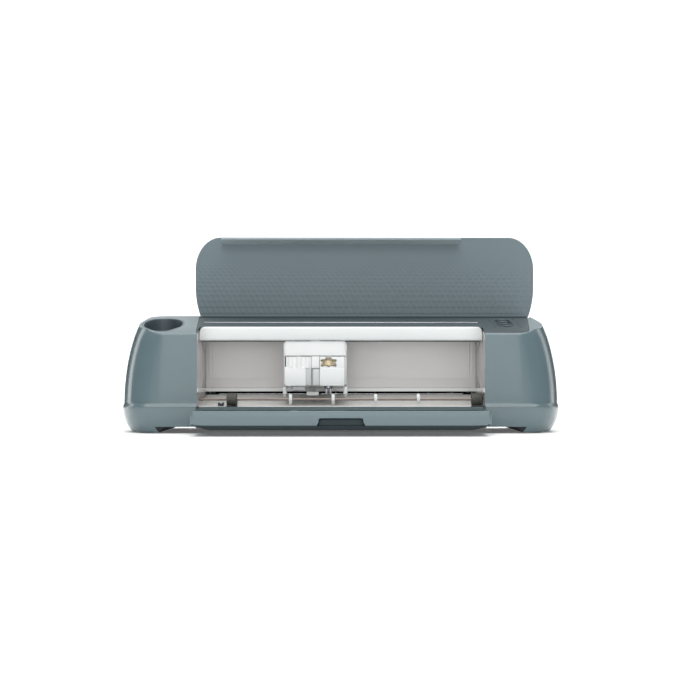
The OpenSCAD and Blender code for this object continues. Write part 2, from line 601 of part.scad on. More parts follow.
base_tray();
rubber_feet();
case_screws();
left_end_cover();
right_end_cover();
rear_cover();
top_deck();
hinge_trough();
button_panel();
power_button();
pause_button();
load_button();
go_button();
cup_liner();
cup_mat();
left_side_frame();
right_side_frame();
chassis_plate();
back_panel();
rear_slot_lip();
platen();
cutting_strip();
beam_cover();
guide_rail();
rear_rail();
drive_belt();
carriage_motor();
motor_pulley();
idler_pulley();
feed_motor();
feed_pinion();
feed_bar();
grit_rollers();
star_wheel_1();
star_wheel_2();
star_wheel_3();
star_wheel_4();
press_rollers();
mat_guides();
main_board();
rear_sockets();
lid_hinge_pins();
lid_shell();
lid_liner();
lid_hinge_arms();
door_hinge_pins();
door_shell();
door_tray();
door_flap();
carriage_chassis();
carriage_cover();
carriage_bushings();
clamp_a_lever();
clamp_b_lever();
tool_a_adapter();
tool_b_housing();
blade_gear();
blade_spindle();
drive_motor();
drive_pinion();
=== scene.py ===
import json
import math

import bmesh
import bpy
import numpy as np
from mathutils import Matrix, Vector


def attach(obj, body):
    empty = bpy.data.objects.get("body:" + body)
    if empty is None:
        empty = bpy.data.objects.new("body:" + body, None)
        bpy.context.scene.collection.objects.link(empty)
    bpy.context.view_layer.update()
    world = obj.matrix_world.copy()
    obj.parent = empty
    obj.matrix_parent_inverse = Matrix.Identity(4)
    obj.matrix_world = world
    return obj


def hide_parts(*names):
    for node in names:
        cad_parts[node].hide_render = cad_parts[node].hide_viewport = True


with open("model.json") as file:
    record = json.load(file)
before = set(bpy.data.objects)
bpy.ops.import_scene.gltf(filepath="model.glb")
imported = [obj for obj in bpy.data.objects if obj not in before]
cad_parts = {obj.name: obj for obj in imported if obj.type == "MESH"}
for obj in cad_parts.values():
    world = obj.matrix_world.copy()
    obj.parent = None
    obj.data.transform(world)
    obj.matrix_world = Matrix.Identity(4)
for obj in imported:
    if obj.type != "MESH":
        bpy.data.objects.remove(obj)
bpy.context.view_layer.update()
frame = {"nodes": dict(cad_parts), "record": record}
nodes = frame["nodes"]
scene = bpy.context.scene
MM = 0.001

# Depths in this script are counted from the front face plane, as in the CAD source.
FRONT_DEPTH = 47
FRONT_Y = -FRONT_DEPTH * MM


# ---------------------------------------------------------------- camera
def look_at(eye, target):
    """The rotation of something at eye that looks at target."""
    direction = Vector(target) - Vector(eye)
    return direction.to_track_quat("-Z", "Y").to_euler()


cam_data = bpy.data.cameras.new("camera")
cam = bpy.data.objects.new("camera", cam_data)
scene.collection.objects.link(cam)
cam_data.lens = 66
cam_data.sensor_width = 36
cam_data.clip_end = 50
CAMERA_DISTANCE, CAMERA_HEIGHT = 1.6, 0.072
cam.location = (0, FRONT_Y - CAMERA_DISTANCE, CAMERA_HEIGHT)
cam.rotation_euler = look_at(cam.location, (0.0112, FRONT_Y, 0.1042))
scene.camera = cam
scene.view_settings.view_transform = "Standard"


# ---------------------------------------------------------------- geometry helpers
def P(x, d, z):
    """Millimetres with depth from the front plane, to metres in the row frame."""
    return (x * MM, d * MM + FRONT_Y, z * MM)


def depth_of(point):
    """A point's depth behind the front plane, in millimetres."""
    return point[1] / MM + FRONT_DEPTH


def mesh_object(name, verts, faces, angle=30):
    """A mesh from points in metres, smooth where its faces meet at less than angle."""
    me = bpy.data.meshes.new(name)
    me.from_pydata([tuple(v) for v in verts], [], [tuple(f) for f in faces])
    me.validate()
    ob = bpy.data.objects.new(name, me)
    scene.collection.objects.link(ob)
    fix_normals(ob)
    shade(ob, angle)
    return ob


def fix_normals(ob):
    """Turns all faces outwards."""
    bm = bmesh.new()
    bm.from_mesh(ob.data)
    bmesh.ops.recalc_face_normals(bm, faces=bm.faces)
    bm.to_mesh(ob.data)
    bm.free()


def shade(ob, angle=30):
    """Smooth shading, with edges sharp from an angle in degrees."""
    me = ob.data
    me.shade_smooth()
    me.set_sharp_from_angle(angle=math.radians(angle))


def bake(ob):
    """Applies the object's modifiers to its mesh."""
    dg = bpy.context.evaluated_depsgraph_get()
    dg.update()
    me = bpy.data.meshes.new_from_object(ob.evaluated_get(dg))
    ob.modifiers.clear()
    ob.data = me


def boolean(ob, others, mode="DIFFERENCE"):
    """Cuts the others from the object, or keeps only what they share, and removes them."""
    for other in others:
        m = ob.modifiers.new("b", "BOOLEAN")
        m.operation = mode
        m.solver = "EXACT"
        m.object = other
        bake(ob)
        bpy.data.objects.remove(other)


def box_object(x0, x1, d0, d1, z0, z1):
    """A plain box, used only to cut with."""
    v = [P(x, d, z) for x in (x0, x1) for d in (d0, d1) for z in (z0, z1)]
    f = [(0, 1, 3, 2), (4, 6, 7, 5), (0, 4, 5, 1), (2, 3, 7, 6), (0, 2, 6, 4), (1, 5, 7, 3)]
    return mesh_object("cut", v, f)


def rings_object(name, rings, angle=30):
    """A tube skin through rings of points with the same count, capped at both ends."""
    n = len(rings[0])
    verts = [p for r in rings for p in r]
    faces = []
    for k in range(len(rings) - 1):
        for i in range(n):
            j = (i + 1) % n
            faces.append((k * n + i, k * n + j, (k + 1) * n + j, (k + 1) * n + i))
    faces.append(tuple(range(n))[::-1])
    faces.append(tuple((len(rings) - 1) * n + i for i in range(n)))
    return mesh_object(name, verts, faces, angle)


def bevel(ob, width):
    """Rounds the sharp edges by a width in millimetres, as modifiers."""
    w = ob.modifiers.new("weld", "WELD")
    w.merge_threshold = 2e-6
    m = ob.modifiers.new("bevel", "BEVEL")
    m.width = width * MM
    m.segments = 3
    m.limit_method = "ANGLE"
    m.angle_limit = math.radians(35)
    m.harden_normals = False
    m.use_clamp_overlap = True


def join(objs, name):
    """Several mesh objects as one."""
    bm = bmesh.new()
    for o in objs:
        o.data.transform(o.matrix_world)
        bm.from_mesh(o.data)
    me = bpy.data.meshes.new(name)
    bm.to_mesh(me)
    bm.free()
    ob = bpy.data.objects.new(name, me)
    scene.collection.objects.link(ob)
    for o in objs:
        bpy.data.objects.remove(o)
    return ob


def soft_block(x0, x1, d0, d1, z0, z1, r=0.6, seg=2, edges=None, r2=0.0):
    """A block with rounded edges.

    edges picks the edges of the larger radius r2, by their direction and middle.
    """
    bm = bmesh.new()
    bmesh.ops.create_cube(bm, size=1)
    for v in bm.verts:
        v.co = P(x1 if v.co.x > 0 else x0, d1 if v.co.y > 0 else d0, z1 if v.co.z > 0 else z0)
    if edges:
        mid = Vector(P((x0 + x1) / 2, (d0 + d1) / 2, (z0 + z1) / 2))
        chosen = []
        for e in bm.edges:
            way = (e.verts[1].co - e.verts[0].co).normalized()
            off = (e.verts[0].co + e.verts[1].co) / 2 - mid
            if edges(way, off):
                chosen.append(e)
        bmesh.ops.bevel(bm, geom=chosen, offset=r2 * MM, segments=6, profile=0.5, affect="EDGES")
    sharp = [e for e in bm.edges if len(e.link_faces) == 2 and e.calc_face_angle() > math.radians(50)]
    bmesh.ops.bevel(bm, geom=sharp, offset=r * MM, segments=seg, profile=0.5, affect="EDGES")
    me = bpy.data.meshes.new("block")
    bm.to_mesh(me)
    bm.free()
    ob = bpy.data.objects.new("block", me)
    scene.collection.objects.link(ob)
    fix_normals(ob)
    shade(ob, 40)
    return ob


def lathe(name, profile, centre, axis="z", n=40):
    """(radius, place along the axis) pairs turned about a z or x axis through centre, in millimetres."""
    rings = []
    for r, h in profile:
        ring = []
        for k in range(n):
            t = 2 * math.pi * k / n
            u, v = max(r, 0.01) * math.cos(t), max(r, 0.01) * math.sin(t)
            if axis == "z":
                ring.append(P(centre[0] + u, centre[1] + v, h))
            else:
                ring.append(P(h, centre[0] + u, centre[1] + v))
        rings.append(ring)
    return rings_object(name, rings)


# ---------------------------------------------------------------- materials
def srgb(r, g, b):
    """An 8-bit colour as linear values."""
    def lin(c):
        c /= 255
        return c / 12.92 if c <= 0.04045 else ((c + 0.055) / 1.055) ** 2.4

    return (lin(r), lin(g), lin(b), 1)


class Mat:
    """A small helper around one Principled material."""

    def __init__(self, name):
        self.m = bpy.data.materials.new(name)
        self.m.use_nodes = True
        self.t = self.m.node_tree
        self.bsdf = self.t.nodes["Principled BSDF"]
        self.coord = self.t.nodes.new("ShaderNodeTexCoord").outputs["Object"]

    def node(self, kind, **inputs):
        n = self.t.nodes.new(kind)
        for k, v in inputs.items():
            self.put(n.inputs[k.replace("_", " ")], v)
        return n

    def put(self, socket, v):
        if isinstance(v, bpy.types.NodeSocket):
            self.t.links.new(v, socket)
        else:
            socket.default_value = v

    def noise(self, scale, detail=3, rough=0.5, vector=None):
        n = self.node("ShaderNodeTexNoise", Scale=scale, Detail=detail, Roughness=rough)
        self.put(n.inputs["Vector"], vector or self.coord)
        return n.outputs["Fac"]

    def ramp(self, value, lo, hi, a=0.0, b=1.0):
        n = self.node("ShaderNodeMapRange", Value=value)
        n.inputs["From Min"].default_value = lo
        n.inputs["From Max"].default_value = hi
        n.inputs["To Min"].default_value = a
        n.inputs["To Max"].default_value = b
        return n.outputs["Result"]

    def mix(self, fac, a, b):
        n = self.t.nodes.new("ShaderNodeMix")
        n.data_type = "RGBA"
        self.put(n.inputs[0], fac)
        self.put(n.inputs[6], a)
        self.put(n.inputs[7], b)
        return n.outputs[2]

    def bump(self, height, strength, distance, normal=None):
        n = self.node("ShaderNodeBump", Strength=strength, Distance=distance, Height=height)
        if normal is not None:
            self.put(n.inputs["Normal"], normal)
        return n.outputs["Normal"]


def plastic(name, colour, rough, grain=2500, grain_depth=0.02, vary=0.05, spec=0.5, coat=0.0, wave=True):
    """Moulded plastic: fine grain, slow waves as in a large moulding, slight drift in colour and gloss."""
    m = Mat(name)
    r, g, b, _ = srgb(*colour)
    dark = (r * (1 - vary), g * (1 - vary), b * (1 - vary), 1)
    light = (min(1, r * (1 + vary)), min(1, g * (1 + vary)), min(1, b * (1 + vary)), 1)
    m.put(m.bsdf.inputs["Base Color"], m.mix(m.noise(14, 4, 0.6), dark, light))
    fine = m.noise(grain, 2)
    m.put(m.bsdf.inputs["Roughness"], m.ramp(fine, 0.3, 0.7, rough * 0.9, rough * 1.12))
    normal = m.bump(fine, 0.35, grain_depth * MM)
    if wave:
        normal = m.bump(m.noise(22, 1), 0.25, 0.12 * MM, normal)
    m.put(m.bsdf.inputs["Normal"], normal)
    m.bsdf.inputs["Specular IOR Level"].default_value = spec
    m.bsdf.inputs["Coat Weight"].default_value = coat
    m.bsdf.inputs["Coat Roughness"].default_value = 0.06
    return m


def metal(name, colour, rough, brushed, scale=900):
    """Metal with fine streaks. brushed scales the pattern, so a small number runs it along that axis."""
    m = Mat(name)
    r, g, b, _ = srgb(*colour)
    n = m.node("ShaderNodeMapping", Scale=brushed)
    m.put(n.inputs["Vector"], m.coord)
    streak = m.noise(scale, 3, 0.6, n.outputs["Vector"])
    m.put(m.bsdf.inputs["Base Color"], m.mix(streak, (r * 0.85, g * 0.85, b * 0.85, 1), (r, g, b, 1)))
    m.put(m.bsdf.inputs["Roughness"], m.ramp(streak, 0.3, 0.7, rough * 0.8, rough * 1.25))
    m.put(m.bsdf.inputs["Normal"], m.bump(streak, 0.3, 0.01 * MM))
    m.bsdf.inputs["Metallic"].default_value = 1
    return m


def grit_material(name):
    """Sandy coating of the grit rollers, from small cells."""
    m = Mat(name)
    cells = m.node("ShaderNodeTexVoronoi", Scale=1100.0)
    m.put(cells.inputs["Vector"], m.coord)
    f = cells.outputs["Distance"]
    m.put(m.bsdf.inputs["Base Color"], m.mix(m.ramp(f, 0.1, 0.6), srgb(128, 127, 118), srgb(66, 66, 61)))
    m.bsdf.inputs["Roughness"].default_value = 0.75
    m.put(m.bsdf.inputs["Normal"], m.bump(f, 0.9, 0.25 * MM))
    return m


TEAL = (95, 114, 119)
# Colour, roughness, grain scale, grain depth in mm, colour drift, then specular level and coat if unusual.
PLASTICS = {
    "shell_gloss": (TEAL, 0.22, 1800, 0.004, 0.025, 0.5, 0.35),
    "shell_top": ((114, 126, 130), 0.6, 2200, 0.06, 0.04, 0.3),
    "shell_matte": ((109, 124, 130), 0.55, 3000, 0.03, 0.03),
    # Painted light: the lid's lip is lighter than the lid, for the light the floor bounces onto it.
    "lip": ((165, 178, 181), 0.5, 3000, 0.03, 0.03),
    "deck_dark": ((60, 72, 76), 0.58, 2600, 0.05, 0.04, 0.25),
    "panel_gloss": ((62, 74, 79), 0.5, 1500, 0.02, 0.03, 0.3),
    "button": ((190, 196, 198), 0.3, 2600, 0.01, 0.05),
    "button_dark": ((72, 84, 89), 0.55, 2600, 0.02, 0.05, 0.25),
    # Painted shade: the door's lower front roundover, coloured dark for the shade above the floor.
    "door_edge_shade": ((46, 56, 60), 0.6, 2400, 0.04, 0.04, 0.2),
    # Painted shade: the cup's inside below its rim, coloured dark for the shade in the hollow.
    "cup_inside_shade": ((70, 83, 89), 0.5, 2400, 0.04, 0.04),
    "soft_dark": ((44, 47, 50), 0.8, 1800, 0.08, 0.15, 0.25),
    "inner_light": ((232, 230, 228), 0.42, 2600, 0.02, 0.02),
    # Painted shade: a darker copy of the bay's light plastic, for the shade on the side walls.
    "inner_side_shade": ((204, 202, 201), 0.45, 2600, 0.02, 0.02),
    "white_plastic": ((243, 245, 244), 0.34, 2600, 0.01, 0.012),
    # Painted shade: a darker copy of the white plastic for the beam, offsetting the top light that falls on
    # it.
    "beam_white_shade": ((224, 227, 226), 0.4, 2600, 0.01, 0.012),
    "grey_plastic": ((186, 188, 188), 0.4, 2600, 0.015, 0.03),
    "black_plastic": ((26, 29, 31), 0.5, 2200, 0.03, 0.1),
    # Painted shade: grey for the shade in the gap between clamp A and the post.
    "column_shade_grey": ((206, 209, 208), 0.4, 2600, 0.015, 0.02),
    "post_grey": ((216, 219, 218), 0.4, 2600, 0.015, 0.02),
    "brush_black": ((14, 14, 15), 0.7, 1500, 0.05, 0.2, 0.2),
    "belt_rubber": ((34, 34, 35), 0.75, 1500, 0.08, 0.15, 0.3),
    "board": ((32, 98, 66), 0.35, 1800, 0.02, 0.2),
}
M = {name: plastic(name, *look) for name, look in PLASTICS.items()}
M["grit"] = grit_material("grit")
M["steel"] = metal("steel", (178, 180, 184), 0.28, (0.02, 1, 1))
M["bar_metal"] = metal("bar_metal", (150, 140, 134), 0.4, (0.02, 1, 1))
M["brass"] = metal("brass", (253, 242, 216), 0.38, (1, 1, 0.05), 700)
slot_of = {s["node"]: s["material_slot"] for s in frame["record"]["subparts"]}


def paint(ob, mat):
    """Gives the object one material only."""
    ob.data.materials.clear()
    ob.data.materials.append(mat.m)


def piece(ob, body, slot, replaces=()):
    """Rides on its body, takes its slot's material, and stands for CAD nodes if any."""
    if not ob.data.materials:
        paint(ob, M[slot])
    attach(ob, body)
    if replaces:
        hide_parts(*replaces)


# Edge rounding of the CAD nodes that stay visible, in millimetres. The others get the usual one.
USUAL_BEVEL = 0.4
BEVELS = {"guide_rail": 0, "rear_rail": 0, "drive_belt": 0, "case_screws": 0, "feed_bar": 0, "rear_cover": 0,
          "grit_rollers": 0.5, "door_flap": 0.5, "hinge_trough": 0.5, "blade_gear": 0.12, "drive_pinion": 0.1,
          "feed_pinion": 0.1, "star_wheel_1": 0.25, "star_wheel_2": 0.25, "star_wheel_3": 0.25,
          "star_wheel_4": 0.25}
for n, ob in nodes.items():
    paint(ob, M[slot_of[n]])
    w = BEVELS.get(n, USUAL_BEVEL)
    if w:
        bevel(ob, w)
    shade(ob, 32)
paint(nodes["feed_bar"], M["bar_metal"])
paint(nodes["mat_guides"], M["deck_dark"])
# Painted shade: the side frames take a darker copy of the bay's plastic for the shade on them.
for n in ("left_side_frame", "right_side_frame"):
    paint(nodes[n], M["inner_side_shade"])
for n in ("power_button", "pause_button", "load_button", "go_button"):
    paint(nodes[n], M["button_dark"])


# ---------------------------------------------------------------- body shells
HALF = 282.0
SEAM = 33.0
WALL = 2.5
SLOPE = math.radians(9.8)
TS, CS, SN = math.tan(SLOPE), math.cos(SLOPE), math.sin(SLOPE)


def deck_z(d):
    """Height of the sloped deck's plane."""
    return 130.3 + (d - 12) * TS


def top_z(d):
    """The deck, rolled down a little towards its crisp front edge."""
    return deck_z(d) - 4.2 * min(1.0, max(0.0, (26 - d) / 18.5)) ** 2


def half_w(z):
    """Half the body's width, widest at the seam."""
    if z >= SEAM:
        return HALF - 17 * ((z - SEAM) / 103) ** 2.2
    return HALF - 11 * ((SEAM - z) / SEAM) ** 2.4


def smooth_table(x, xs, ys):
    """Monotone cubic through a short table."""
    i = int(np.clip(np.searchsorted(xs, x) - 1, 0, len(xs) - 2))
    t = (x - xs[i]) / (xs[i + 1] - xs[i])
    s = [(ys[k + 1] - ys[k]) / (xs[k + 1] - xs[k]) for k in range(len(xs) - 1)]

    def slope(k):
        if k == 0:
            return s[0]
        if k == len(xs) - 1:
            return s[-1]
        return 0 if s[k - 1] * s[k] <= 0 else 2 * s[k - 1] * s[k] / (s[k - 1] + s[k])

    h = xs[i + 1] - xs[i]
    t = min(max(t, 0), 1)
    return ((2 * t**3 - 3 * t**2 + 1) * ys[i] + (t**3 - 2 * t**2 + t) * h * slope(i)
            + (-2 * t**3 + 3 * t**2) * ys[i + 1] + (t**3 - t**2) * h * slope(i + 1))


def front_d(z, upper):
    """Depth of the front face. The upper part steps back from the seam with a ledge."""
    if not upper:
        return smooth_table(z, [0, 2, 9, 20, 28, 33], [12, 9.6, 5.4, 1.8, 0.4, 0.1])
    heights = [33, 33.3, 34, 35.2, 36.4, 37.2, 37.8, 60, 95, 116, 122, 125.4, 128, 131, 140, 160]
    depths = [0.1, 0.2, 0.75, 1.95, 3.15, 3.85, 4.05, 4.1, 4.7, 5.6, 6.0, 6.9, 7.6, 8.6, 12, 22]
    return smooth_table(z, heights, depths)


def rear_d(z, upper):
    """Depth of the rear face, rounded over above a height."""
    if not upper:
        return smooth_table(z, [0, 3, 18, 33], [170, 172.5, 175.4, 176.8])
    straight_top, roll = 122.0, 31
    rise = (max(z, straight_top) - straight_top) / 31.3
    return 146 + roll * math.sqrt(max(0.0, 1 - rise ** 2))


def level(z, i, upper):
    """Right half of the outline at height z, drawn in by i, from the front centre to the rear centre."""
    w, f, r = half_w(z) - i, front_d(z, upper) + i, rear_d(z, upper) - i
    if upper and z > SEAM:
        w -= 0.9 * min(1, (z - SEAM) / 5)
    # Corners are quarter ellipses: a by b at the front, ra by rb at the rear.
    a, b = 44 - i, 72 - i
    ra, rb = 22 - i, 34 - i
    pts = [(x, f) for x in (0, 90, 179, 200, 220)]
    pts += [(w - a + a * math.sin(t), f + b - b * math.cos(t)) for t in np.linspace(0, math.pi / 2, 18)]
    pts += [(w, f + b + (r - rb - f - b) * k / 5) for k in range(1, 5)]
    pts += [(w - ra + ra * math.cos(t), r - rb + rb * math.sin(t)) for t in np.linspace(0, math.pi / 2, 10)]
    pts += [(x, r) for x in (220, 200, 179, 90, 0)]
    return pts


def body_solid(name, i, z0, upper, levels):
    """The closed body above or below the seam. The upper one ends on the sloped deck with a small fillet."""
    if not upper:
        zs = [z0 + (SEAM - z0) * math.sin(math.pi / 2 * k / levels) for k in range(levels + 1)]
        if i:
            zs[-1] = SEAM + 2
        rings = []
        for z in zs:
            half = level(min(z, SEAM), i, False)
            ring = half + [(-x, d) for x, d in half[-2:0:-1]]
            rings.append([P(x, d, z) for x, d in ring])
        return rings_object(name, rings)
    count = len(level(50, i, True))
    columns = []
    drop, fillet = i / CS, 1.2
    for u in range(count):
        lo, hi = 100.0, 156.0
        for _ in range(40):
            mid = (lo + hi) / 2
            if mid > top_z(level(mid, i, True)[u][1]) - drop:
                hi = mid
            else:
                lo = mid
        top = lo
        zs = [z0] if z0 < SEAM else []
        # Close together over the ledge above the seam.
        zs += [33.2, 33.6, 34.1, 34.8, 35.6, 36.3, 36.9, 37.4, 37.9, 39, 42]
        zs += [42 + (top - fillet - 42) * math.sin(math.pi / 2 * k / levels) for k in range(1, levels + 1)]
        col = [(*level(max(z, SEAM), i, True)[u], z) for z in zs]
        corner = np.array([*level(top, i, True)[u], top])
        tx, td = 0.78 * corner[0], 85 + 0.55 * (corner[1] - 85)
        inward = np.array([tx - corner[0], td - corner[1]])
        inward /= np.linalg.norm(inward) + 1e-9
        bx, bd = corner[:2] + inward * fillet
        a, b = np.array(col[-1]), np.array([bx, bd, top_z(bd) - drop])
        for k in range(1, 6):
            t = k / 5
            col.append(tuple((1 - t) ** 2 * a + 2 * t * (1 - t) * corner + t * t * b))
        for t in (0.03, 0.07, 0.12, 0.18, 0.26, 0.38, 0.6, 1.0):
            x, d = bx + (tx - bx) * t, bd + (td - bd) * t
            col.append((x, d, top_z(d) - drop))
        columns.append(col)
    full = columns + [[(-p[0], p[1], p[2]) for p in c] for c in columns[-2:0:-1]]
    rings = [[P(*c[k]) for c in full] for k in range(len(full[0]))]
    return rings_object(name, rings)


CUP_POINTS = 64


def cup_ring(inset, z):
    """Egg-shaped outline of the cup, its long axis slightly askew, at a height or on the deck."""
    pts = []
    for k in range(CUP_POINTS):
        t = 2 * math.pi * k / CUP_POINTS
        c, q = math.cos(t), math.sin(t)
        x = math.copysign(abs(c) ** 0.8, c) * (26.6 - inset)
        d = 65.5 + math.copysign(abs(q) ** 0.8, q) * (54.6 - inset)
        pts.append((x - 226 - 8.7 * (d - 13) / 104, d))
    return [P(x, d, z if z is not None else top_z(d)) for x, d in pts]


def top_finish(ob):
    """The caps are grained and matt where the walls are glossy."""
    paint(ob, M["shell_gloss"])
    ob.data.materials.append(M["shell_top"].m)
    for p in ob.data.polygons:
        if p.normal.z > 0.8 and p.center.z > 0.12:
            p.material_index = 1


def shell_part(name, region, cutters):
    """The part of the upper body's shell that lies in a box, with the cutters taken off."""
    outer = body_solid(name, 0.0, 33.2, True, 16)
    inner = body_solid("inner", WALL, 20.0, True, 10)
    boolean(outer, [inner])
    boolean(outer, [box_object(*region)], "INTERSECT")
    boolean(outer, cutters)
    shade(outer, 30)
    top_finish(outer)
    return outer


def prism(plan, z0, z1):
    """A closed (x, d) plan raised from z0 to z1."""
    n = len(plan)
    v = [P(x, d, z0) for x, d in plan] + [P(x, d, z1) for x, d in plan]
    f = [tuple(range(n))[::-1], tuple(range(n, 2 * n))]
    f += [(i, (i + 1) % n, n + (i + 1) % n, n + i) for i in range(n)]
    return mesh_object("prism", v, f)


def notch_cutters():
    """Room for the lid's rolled root behind the deck."""
    x0, x1 = -191.2, 255.2
    return [box_object(x0, x1, 126, 173, 91, 170), box_object(x0, x1, 170, 190, 124.6, 170)]


def outline_cutter(name, outline, d0, d1):
    """A closed (x, z) outline swept from depth d0 to d1."""
    n = len(outline)
    verts = [P(x, d, z) for d in (d0, d1) for x, z in outline]
    faces = [tuple(range(n)), tuple(range(n, 2 * n))[::-1]]
    faces += [(i, n + i, n + (i + 1) % n, (i + 1) % n) for i in range(n)]
    return mesh_object(name, verts, faces)


def make_shells():
    """Both end covers, cut out for the deck, the cup, the lid's root and the sockets."""
    cup_cut = rings_object("cupcut", [cup_ring(-0.2, z) for z in (84, 200)])
    left_deck = prism([(-181.6, 8.4), (0, 8.4), (0, 200), (-190.8, 200), (-190.8, 128.2)], 120, 200)
    left = shell_part("left_end_cover_skin", (-300, -180.2, -10, 190, 33, 200),
                      [left_deck, cup_cut] + notch_cutters())
    piece(left, "body", "shell_gloss", ["left_end_cover"])
    right_deck = prism([(0, 8.4), (226.6, 8.4), (231.2, 9.4), (235.2, 10.9), (237.0, 12.6), (251.1, 128.3),
                        (0, 128.3)], 120, 200)
    sockets = [box_object(216, 244, 165, 190, 60, 82), box_object(196, 210, 165, 190, 62, 72)]
    right = shell_part("right_end_cover_skin", (180.2, 300, -10, 190, 33, 200),
                       [right_deck] + notch_cutters() + sockets)
    piece(right, "body", "shell_gloss", ["right_end_cover"])


def make_base():
    """Base tray below the seam, with the arch between its feet and a notch for the door."""
    base = body_solid("base_skin", 0.0, 1.2, False, 14)
    hollow = body_solid("hollow", WALL, 3.7, False, 8)
    boolean(hollow, [box_object(-232, 232, -20, 200, 0, 10.7), box_object(-183.5, 183.5, -20, 25.5, 0, 60)])
    boolean(base, [hollow])
    arch = [(-229, -2), (-227.5, 2.0), (-224.5, 4.8), (-221.5, 6.6), (-218, 7.7), (-213, 8.2)]
    arch = arch + [(-x, z) for x, z in arch[::-1]]
    boolean(base, [outline_cutter("arch", arch, -20, 200), box_object(-181, 181, -20, 24.2, -5, 60)])
    shade(base, 30)
    paint(base, M["shell_gloss"])
    # Painted shade: the underside and the arch's ends are coloured dark and matt for the shade near the
    # floor.
    base.data.materials.append(M["soft_dark"].m)
    for p in base.data.polygons:
        c = p.center
        if c.z < 8.3 * MM and abs(c.x) < 229.2 * MM and p.normal.z < -0.05:
            p.material_index = 1
    piece(base, "body", "shell_gloss", ["base_tray"])


make_shells()
make_base()


# ---------------------------------------------------------------- lid
LID_AXIS = (138.0, 127.0)
LID_REACH = 134.5
LID_X = (-200.0, 264.9)
LID_OPENING = 98
# Mean radius of the rolled root around the hinge, and where along the panel its strip of painted shade ends.
R_MID = 29.25
ROOT_END = 25.4


def lid_rest(p):
    """Turns a closed-lid point (x, d, z) to its open place."""
    a = math.radians(-LID_OPENING)
    y, z = p[1] - LID_AXIS[0], p[2] - LID_AXIS[1]
    d = LID_AXIS[0] + y * math.cos(a) - z * math.sin(a)
    return P(p[0], d, LID_AXIS[1] + y * math.sin(a) + z * math.cos(a))


def lid_point(x, s, n):
    """x, distance from the hinge along the panel, distance from the hinge across it, closed."""
    if s >= 0:
        return (x, LID_AXIS[0] - s * CS - n * SN, LID_AXIS[1] - s * SN + n * CS)
    a = math.pi / 2 + SLOPE + s / R_MID
    return (x, LID_AXIS[0] + n * math.cos(a), LID_AXIS[1] + n * math.sin(a))


def lid_inset(s):
    """How far the outline has come in from the widest line, by the free corners and by the root's."""
    if s > LID_REACH - 44:
        return 35 - 35 * math.sqrt(max(0.0, 1 - ((s - LID_REACH + 44) / 44) ** 2))
    if s < 66:
        t = min((66 - s) / 80, math.sin(math.radians(70)))
        return 51 - 51 * math.sqrt(1 - t * t)
    return 0.0


def diamond_height(x, s):
    """Embossed checker of soft triangles: tall by the hinge, shorter and fading towards the free edge."""
    fade = np.clip((104 - s) / 20, 0, 1)
    fade = fade * fade * (3 - 2 * fade)
    tall = np.maximum(4.0 + (90 - s) * 0.085, 2.6)
    row = -11.76 * np.log(tall)
    k, b = np.floor(row), row % 1
    a = np.abs(((x / 7.72 + 0.5 * (k % 2)) % 1) - 0.5) * 2
    return fade * 0.2 * np.tanh(3.0 * ((1 - a) - b))


